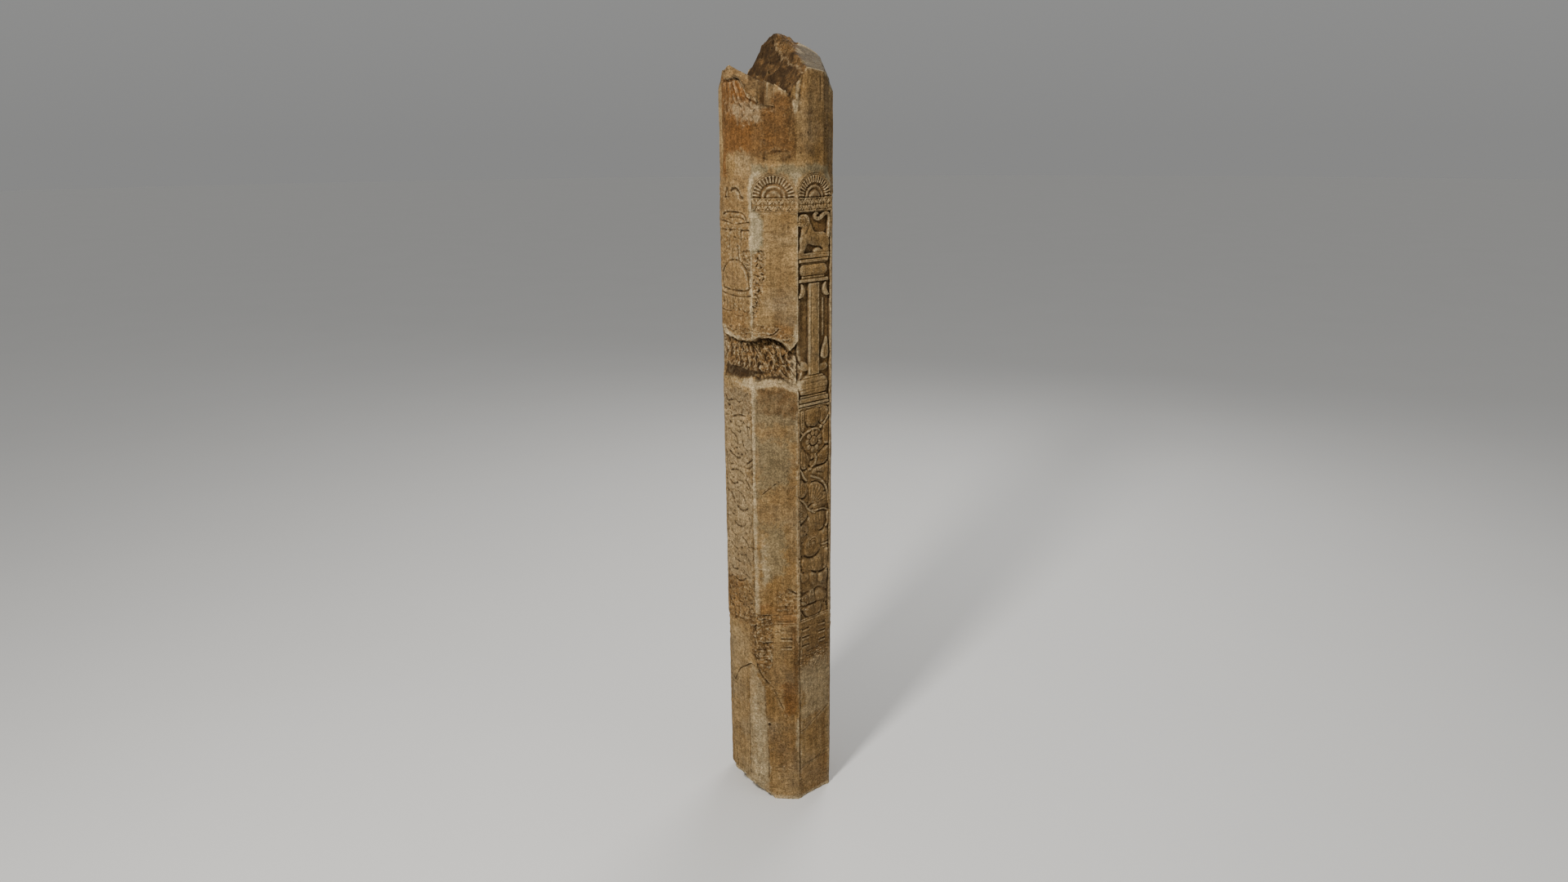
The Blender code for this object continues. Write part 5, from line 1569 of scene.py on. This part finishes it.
class Stone:
    """The points of the stone's mesh with the marks that its material reads."""

    def __init__(self, mesh):
        points = read_values(mesh.vertices, "co", 3) / MM
        x, y, z = points.T.astype(float)
        self.x, self.y, self.z = x, y, z
        self.numbers = (np.round(np.arctan2(x, -y) / EIGHTH).astype(int) + 3) % SIDES - 3
        turns = self.numbers * EIGHTH
        self.u = x * np.cos(turns) + y * np.sin(turns)
        self.sunk = INRADIUS - (x * np.sin(turns) - y * np.cos(turns))
        self.in_view = (self.numbers < 2) & (self.numbers > -3)
        self.shake = 0.6 * rough(x, y, z, 30, 81, 2) + 0.6 * rough(x, y, z, 7, 83, 2)
        self.hollow = read_values(mesh.attributes["hollow"].data, "value")
        self.cut = read_values(mesh.attributes["cut"].data, "value")
        self.bends = edge_bends(mesh, points)
        self.pale = self.zones(PALE_ZONES)
        self.orange = self.zones(ORANGE_ZONES)
        self.dark = self.zones(DARK_ZONES)
        self.olive = self.zones(OLIVE_ZONES)
        self.rock = self.zones(ROCK_ZONES)
        # Painted shade: points in hollows and creases are darkened, more the deeper the hollow and the
        # sharper the crease.
        self.dirt = np.clip(self.hollow - 0.3, 0, None) * 0.30 + np.clip(self.bends - 0.14, 0, None) * 1.0

    def zones(self, zones):
        """The strength of a table's zones at each point."""
        marks = np.zeros(len(self.u))
        for number, outline, soft, strength in zones:
            mine = self.numbers == number
            if mine.any():
                inside = depth_inside(self.u[mine], self.z[mine], outline) + self.shake[mine] * (soft + 1.2)
                marks[mine] = np.maximum(marks[mine], strength * smooth(inside / (soft * 0.8) + 0.5))
        return marks

    def set(self, where, **marks):
        """Gives some of the points new marks."""
        for name, values in marks.items():
            getattr(self, name)[where] = np.broadcast_to(values, self.z.shape)[where]

    def lift(self, **marks):
        """Raises marks to at least these values."""
        for name, values in marks.items():
            setattr(self, name, np.maximum(getattr(self, name), values))

    def mark_carving(self):
        """Marks of the deep carving and of the half lotuses."""
        carved = (self.z > RAIL_LOW) & (self.z < CARVING_TOP) & ((self.numbers > 0) | (self.numbers < -1))
        # The deep-cut ground of the carving is darkened, more the deeper it is cut: dirt and painted shade
        # in the recesses.
        self.lift(dark=0.75 * smooth((self.cut - 2.6) / 5) * carved)
        lotus = (self.numbers > -1) & (self.z > BAND_TOP) & (np.hypot(self.u, self.z - BAND_TOP) < 64)
        self.set(lotus, orange=0.22, dark=np.maximum(self.dark, 0.35))

    def mark_head(self):
        """Marks of the head's broken surfaces."""
        x, y, z = self.x, self.y, self.z
        wall, slope = back_planes(x, y)
        bevel, drop = plane(BEVEL, x, y), plane(DROP, x, y)
        back = np.minimum(wall, slope)
        front = front_planes(x, y)
        broken = (z > BREAK_LOW) & (z > head_surface(x, y) - 9) & (self.sunk > 2.5)
        behind = broken & (np.minimum(back, np.minimum(bevel, drop)) > front)
        on_bevel = behind & (bevel < back + 2) & (x > BEVEL_LEFT + 6 * self.shake)
        self.inner = behind & ~on_bevel
        self.mark_bevel(on_bevel)
        self.mark_fragment(broken & ~behind)
        self.mark_wall(wall, slope)
        seam = broken & (np.abs(front - back) < 7) & (x > -120)
        self.set(seam, pale=0.8, dark=0, dirt=0)
        pocket = broken & ~behind & (x > -41) & (x < -25) & (z < 2345) & (INRADIUS + y > 1)
        self.set(pocket, dark=1, dirt=0.55)

    def mark_bevel(self, bevel):
        self.set(bevel, olive=1, dark=0.55, dirt=0.26 + 0.30 * np.clip(self.shake, 0, 1))
        edge = bevel & ((self.x < BEVEL_LEFT + 6 * self.shake + 8) | (self.sunk < 9))
        self.set(edge, olive=0.3, pale=0.85, dark=0, dirt=0)

    def mark_fragment(self, fragment):
        shake = self.shake
        self.set(fragment, rock=0.55, olive=0.30 + 0.35 * shake, orange=self.orange * 0.45,
                 dark=np.clip(0.45 + 0.8 * shake, 0, 0.9),
                 dirt=np.maximum(self.dirt, np.clip(0.16 + 0.5 * shake, 0, 0.6)))

    def mark_wall(self, wall, slope):
        """Marks of the rough stone on both sides of the ridge, and of the ridge."""
        left = smooth((slope - wall) / 6 + 0.5)
        mottle = rough(self.x, self.y, self.z, 26, 87, 3)
        # Left of the ridge, and most at its left end, the wall is darkened: partly its dark stain, partly
        # painted shade.
        corner = np.interp(self.x, (-150, -60), (0.5, 0)) * left
        self.set(self.inner, rock=1, orange=0.30, pale=0, dark=0.75 + 0.25 * left + 0.3 * self.shake,
                 dirt=np.clip(0.30 + 0.60 * left + corner + 1.0 * mottle, 0, 0.98))
        ridge = self.inner & (np.abs(wall - slope + 4 * self.shake) < 1.6) & (self.z < 2475)
        self.set(ridge, pale=0.32, dirt=0.1)

    def mark_notch(self):
        """Marks of the ledge, with its painted shadow, and of the stone deep in the notch, with painted
        shade.
        """
        # Painted shadow on the left part of the ledge.
        self.lift(dirt=self.zones(LEDGE_SHADOW_ZONES))
        within = (self.z > NOTCH_LOW) & (self.z < NOTCH_HIGH) & self.in_view
        deep = smooth((self.sunk - 10) / 14) * within
        lower = smooth((self.sunk - 36 - 6 * self.shake) / 9) * deep
        beside = (self.numbers == 0) * smooth((self.u - 40) / 10) * smooth((1548 - self.z) / 10)
        # The deepest stone in the notch is darkened: painted shade.
        self.lift(rock=deep, orange=0.45 * deep, dark=0.6 * lower, pale=0.75 * beside * deep)
        self.pale = self.pale * (1 - 0.8 * deep * (self.hollow > -1.5) * (1 - beside))
        # Painted shade: hollows deep in the notch are darkened more.
        self.dirt = self.dirt * (1 + 1.1 * deep)

    def mark_edges(self):
        """Marks of rubbed edges, made paler also as a painted highlight, and of the foot's rim; more dirt
        and painted shade on the worn face.
        """
        z = self.z
        # Paler convex edges: partly wear, partly a painted highlight where light catches the edges.
        rubbed_and_highlit = np.clip(-self.hollow - 0.8, 0, 1.4) * 0.32 * np.interp(z, (2100, 2130), (1, 0.4))
        rubbed_and_highlit = rubbed_and_highlit + np.clip(-self.bends - 0.10, 0, 0.5) * 2.2 * np.interp(z, (2100, 2130), (1, 0.6))
        rubbed_and_highlit[self.inner] *= 0.4
        self.lift(pale=np.clip(rubbed_and_highlit, 0, 0.85))
        rim = smooth(1.6 - (z - foot_chip(self.x, self.y)) / 11) * (z < 120) * self.in_view
        self.lift(pale=rim)
        # On the worn face, the dirt and painted shade of its grooves are strengthened.
        on_worn_face = np.interp(z, (1440, 1450, 2100, 2110), (2.2, 1.5, 1.5, 1.0))
        self.dirt = self.dirt * (1 - rim) * np.where(self.numbers == -1, on_worn_face, 1)
        self.dark = self.dark * (1 - rim)


def mark_colours(mesh):
    """Writes how pale, orange, dark and olive each point is, its dirt and painted shade, and how broken it
    is.
    """
    stone = Stone(mesh)
    stone.mark_carving()
    stone.mark_head()
    stone.mark_notch()
    stone.mark_edges()
    for name in ("pale", "orange", "dark", "olive", "dirt", "rock"):
        layer = mesh.attributes.new(name, 'FLOAT', 'POINT')
        layer.data.foreach_set("value", np.clip(getattr(stone, name), 0, 1).astype(np.float32))


# Material


class Graph:
    """Short calls for building the nodes of a material or of the surroundings."""

    def __init__(self, owner, shader="Principled BSDF", place="Object"):
        owner.use_nodes = True
        self.tree = owner.node_tree
        self.shader = self.tree.nodes[shader]
        self.place = self.node('ShaderNodeTexCoord', {}, place)

    def node(self, kind, inputs, output, **settings):
        """Adds a node with its settings and its inputs, which are values or other nodes'
        outputs, and gives its output."""
        node = self.tree.nodes.new(kind)
        for name, value in settings.items():
            setattr(node, name, value)
        for name, value in inputs.items():
            if isinstance(value, bpy.types.NodeSocket):
                self.link(value, node.inputs[name])
            else:
                node.inputs[name].default_value = value
        return node.outputs[output]

    def link(self, source, target):
        self.tree.links.new(source, target)

    def stretched(self, scale):
        return self.node('ShaderNodeMapping', {"Vector": self.place, "Scale": scale}, "Vector")

    def noise(self, scale, detail=4, vector=None, roughness=0.55):
        inputs = {"Vector": vector or self.place, "Scale": scale, "Detail": detail, "Roughness": roughness}
        return self.node('ShaderNodeTexNoise', inputs, "Fac")

    def cells(self, scale, output="Distance"):
        """Small cells: the distance from their middles, or a random tone for each."""
        return self.node('ShaderNodeTexVoronoi', {"Vector": self.place, "Scale": scale}, output)

    def range(self, value, low, high, new_low=0.0, new_high=1.0):
        inputs = {"Value": value, "From Min": low, "From Max": high, "To Min": new_low, "To Max": new_high}
        return self.node('ShaderNodeMapRange', inputs, "Result", clamp=True)

    def math(self, operation, a, b):
        return self.node('ShaderNodeMath', {0: a, 1: b}, 0, operation=operation)

    def mix(self, share, a, b, blend='MIX'):
        a, b = ((*value, 1.0) if isinstance(value, tuple) else value for value in (a, b))
        inputs = {0: share, 6: a, 7: b}
        return self.node('ShaderNodeMix', inputs, 2, data_type='RGBA', blend_type=blend)

    def marked(self, colour, name, breaks, tint):
        """The colour with a tint where the mark of that name is, broken up by a noise."""
        return self.mix(self.math('MULTIPLY', self.mark(name), breaks), colour, tint)

    def mark(self, name):
        return self.node('ShaderNodeAttribute', {}, "Fac", attribute_name=name)

    def bump(self, height, strength, distance, normal=None):
        inputs = {"Height": height, "Strength": strength, "Distance": distance}
        if normal:
            inputs["Normal"] = normal
        return self.node('ShaderNodeBump', inputs, "Normal")


OCHRE = (0.205, 0.118, 0.040)
BUFF = (0.290, 0.190, 0.082)
BROWN = (0.095, 0.050, 0.018)
ORANGE = (0.150, 0.057, 0.011)
GREY = (0.180, 0.135, 0.078)
PALE = (0.395, 0.308, 0.178)
OLIVE = (0.185, 0.155, 0.088)
DEEP = (0.070, 0.036, 0.013)
ROCK = (0.235, 0.128, 0.044)
SHADE_AND_GRIME = (0.026, 0.015, 0.007)


def limestone():
    material = bpy.data.materials.new("limestone")
    g = Graph(material)
    streaks = g.stretched((1.0, 1.0, 0.10))
    bands = g.stretched((0.18, 0.18, 1.0))
    colour = g.mix(g.range(g.noise(3.4, 6), 0.38, 0.62), OCHRE, BUFF)
    for scale, detail, place, low, high, strength, tint in (
        (9.0, 6, streaks, 0.48, 0.72, 0.7, BROWN),
        (7.5, 6, None, 0.50, 0.68, 0.7, GREY),
        (55, 5, streaks, 0.50, 0.66, 0.55, BUFF),
        (70, 4, bands, 0.50, 0.70, 0.36, BROWN),
        (160, 3, bands, 0.52, 0.64, 0.30, BROWN),
    ):
        colour = g.mix(g.range(g.noise(scale, detail, place), low, high, 0, strength), colour, tint)
    colour = g.marked(colour, "orange", g.range(g.noise(16, 6, streaks), 0.32, 0.60, 0.55, 1.0), ORANGE)
    broken = g.mix(g.range(g.noise(46, 8, None, 0.68), 0.40, 0.56), DEEP, ROCK)
    broken = g.mix(g.range(g.noise(90, 6, None, 0.7), 0.50, 0.62, 0, 0.9), broken, BUFF)
    colour = g.mix(g.mark("rock"), colour, broken)
    colour = g.mix(g.mark("olive"), colour, OLIVE)
    colour = g.marked(colour, "dark", g.range(g.noise(30, 6), 0.34, 0.58, 0.50, 1.0), BROWN)
    colour = g.marked(colour, "pale", g.range(g.noise(70, 6), 0.36, 0.54, 0.50, 1.0), PALE)
    patches = g.range(g.noise(28, 5, g.stretched((0.7, 0.7, 1.0))), 0.3, 0.7, 0.80, 1.20)
    blots = g.range(g.noise(85, 4, None, 0.6), 0.36, 0.64, 0.80, 1.14)
    specks = g.range(g.noise(210, 3, None, 0.6), 0.34, 0.66, 0.60, 1.32)
    grains = g.range(g.cells(360, "Color"), 0.15, 0.85, 0.80, 1.20)
    grooves = g.range(g.noise(120, 4, g.stretched((1.0, 1.0, 0.06))), 0.36, 0.64, 0.86, 1.12)
    for tone in (patches, blots, specks, grains, grooves):
        colour = g.mix(1.0, colour, tone, 'MULTIPLY')
    pits = g.range(g.cells(105), 0.02, 0.20, 1.0, 0.0)
    pits = g.math('MULTIPLY', pits, g.range(g.noise(24, 3), 0.46, 0.60))
    colour = g.mix(g.math('MULTIPLY', pits, 0.7), colour, SHADE_AND_GRIME)
    # Dirt and the painted shade of hollows and creases darken the colour towards the darkest brown.
    dirt = g.math('MULTIPLY', g.mark("dirt"), g.range(g.noise(50, 3), 0.25, 0.6, 0.8, 1.0))
    dirt = g.math('MULTIPLY', dirt, g.range(g.noise(130, 4, None, 0.65), 0.30, 0.58, 0.72, 1.0))
    colour = g.mix(dirt, colour, SHADE_AND_GRIME)
    g.link(colour, g.shader.inputs["Base Color"])
    g.link(g.range(g.noise(70, 4), 0.3, 0.7, 0.82, 0.97), g.shader.inputs["Roughness"])
    g.shader.inputs["Specular IOR Level"].default_value = 0.10
    normal = g.bump(g.noise(150, 5, None, 0.6), 0.9, 0.0016)
    normal = g.bump(g.noise(60, 5, bands), 0.5, 0.0016, normal)
    normal = g.bump(g.math('SUBTRACT', 1.0, pits), 0.8, 0.0022, normal)
    g.link(normal, g.shader.inputs["Normal"])
    return material


def stone_piece():
    piece = bpy.data.objects.new("carved_limestone", build_mesh())
    bpy.context.scene.collection.objects.link(piece)
    thinned(piece)
    mark_colours(piece.data)
    piece.data.polygons.foreach_set("use_smooth", np.ones(len(piece.data.polygons), bool))
    piece.data.set_sharp_from_angle(angle=radians(38))
    piece.data.materials.append(limestone())
    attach(piece, "root")
    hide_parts(NODE)
    return piece


# Floor, light and camera


def pale_floor():
    bpy.ops.mesh.primitive_circle_add(vertices=96, radius=60, fill_type='NGON', location=(0, 0, 0))
    floor = bpy.context.object
    floor.name = "pale_floor"
    material = bpy.data.materials.new("pale_floor")
    g = Graph(material)
    g.link(g.mix(g.noise(1.2, 3), (0.72, 0.715, 0.70), (0.75, 0.745, 0.73)), g.shader.inputs["Base Color"])
    g.shader.inputs["Roughness"].default_value = 0.8
    floor.data.materials.append(material)


def soft_light(name, place, target, size, power, colour):
    light = bpy.data.lights.new(name, 'AREA')
    light.shape = 'DISK'
    light.size = size
    light.energy = power
    light.color = colour
    item = bpy.data.objects.new(name, light)
    item.location = place
    item.rotation_euler = (Vector(target) - Vector(place)).to_track_quat('-Z', 'Y').to_euler()
    bpy.context.scene.collection.objects.link(item)


# Brightness of the surroundings at the horizon and overhead
SKY_LOW, SKY_HIGH = 0.32, 0.44


def studio():
    world = bpy.data.worlds.new("studio")
    g = Graph(world, "Background", "Generated")
    g.shader.inputs["Color"].default_value = (0.80, 0.80, 0.79, 1)
    rise = g.node('ShaderNodeSeparateXYZ', {"Vector": g.place}, "Z")
    g.link(g.range(rise, 0.0, 0.4, SKY_LOW, SKY_HIGH), g.shader.inputs["Strength"])
    bpy.context.scene.world = world
    soft_light("key", (-1.45, -3.1, 4.1), (0, 0, 1.2), 0.6, 225, (1.0, 0.97, 0.92))
    soft_light("fill", (3.4, -2.0, 2.4), (0, 0, 1.2), 2.2, 15, (0.96, 0.98, 1.0))
    soft_light("back", (1.2, 3.6, 4.4), (0, 0, 1.3), 2.2, 120, (1.0, 0.98, 0.95))


# The camera, fitted to the arrises and the carved lines in the photograph
CAMERA_TURN = 3.538
CAMERA_DISTANCE = 3.353
CAMERA_HEIGHT = 2.19
CAMERA_PITCH = 15.96
CAMERA_ROLL = -0.404
CAMERA_YAW = -0.279
FOCAL_PIXELS = 1304
PICTURE_WIDTH = 1920
SENSOR_WIDTH = 36


def camera():
    turn, pitch, roll = radians(CAMERA_TURN), radians(CAMERA_PITCH), radians(CAMERA_ROLL)
    heading = turn + radians(CAMERA_YAW)
    forward = Vector((-sin(heading) * cos(pitch), cos(heading) * cos(pitch), -sin(pitch)))
    level = Vector((cos(heading), sin(heading), 0))
    upward = level.cross(forward)
    right = level * cos(roll) + upward * sin(roll)
    up = upward * cos(roll) - level * sin(roll)
    item = bpy.data.objects.new("camera", bpy.data.cameras.new("camera"))
    bpy.context.scene.collection.objects.link(item)
    placed = Matrix((right, up, -forward)).transposed().to_4x4()
    placed.translation = (sin(turn) * CAMERA_DISTANCE, -cos(turn) * CAMERA_DISTANCE, CAMERA_HEIGHT)
    item.matrix_world = placed
    item.data.sensor_width = SENSOR_WIDTH
    item.data.lens = FOCAL_PIXELS / PICTURE_WIDTH * SENSOR_WIDTH
    bpy.context.scene.camera = item


camera()
studio()
pale_floor()
stone_piece()
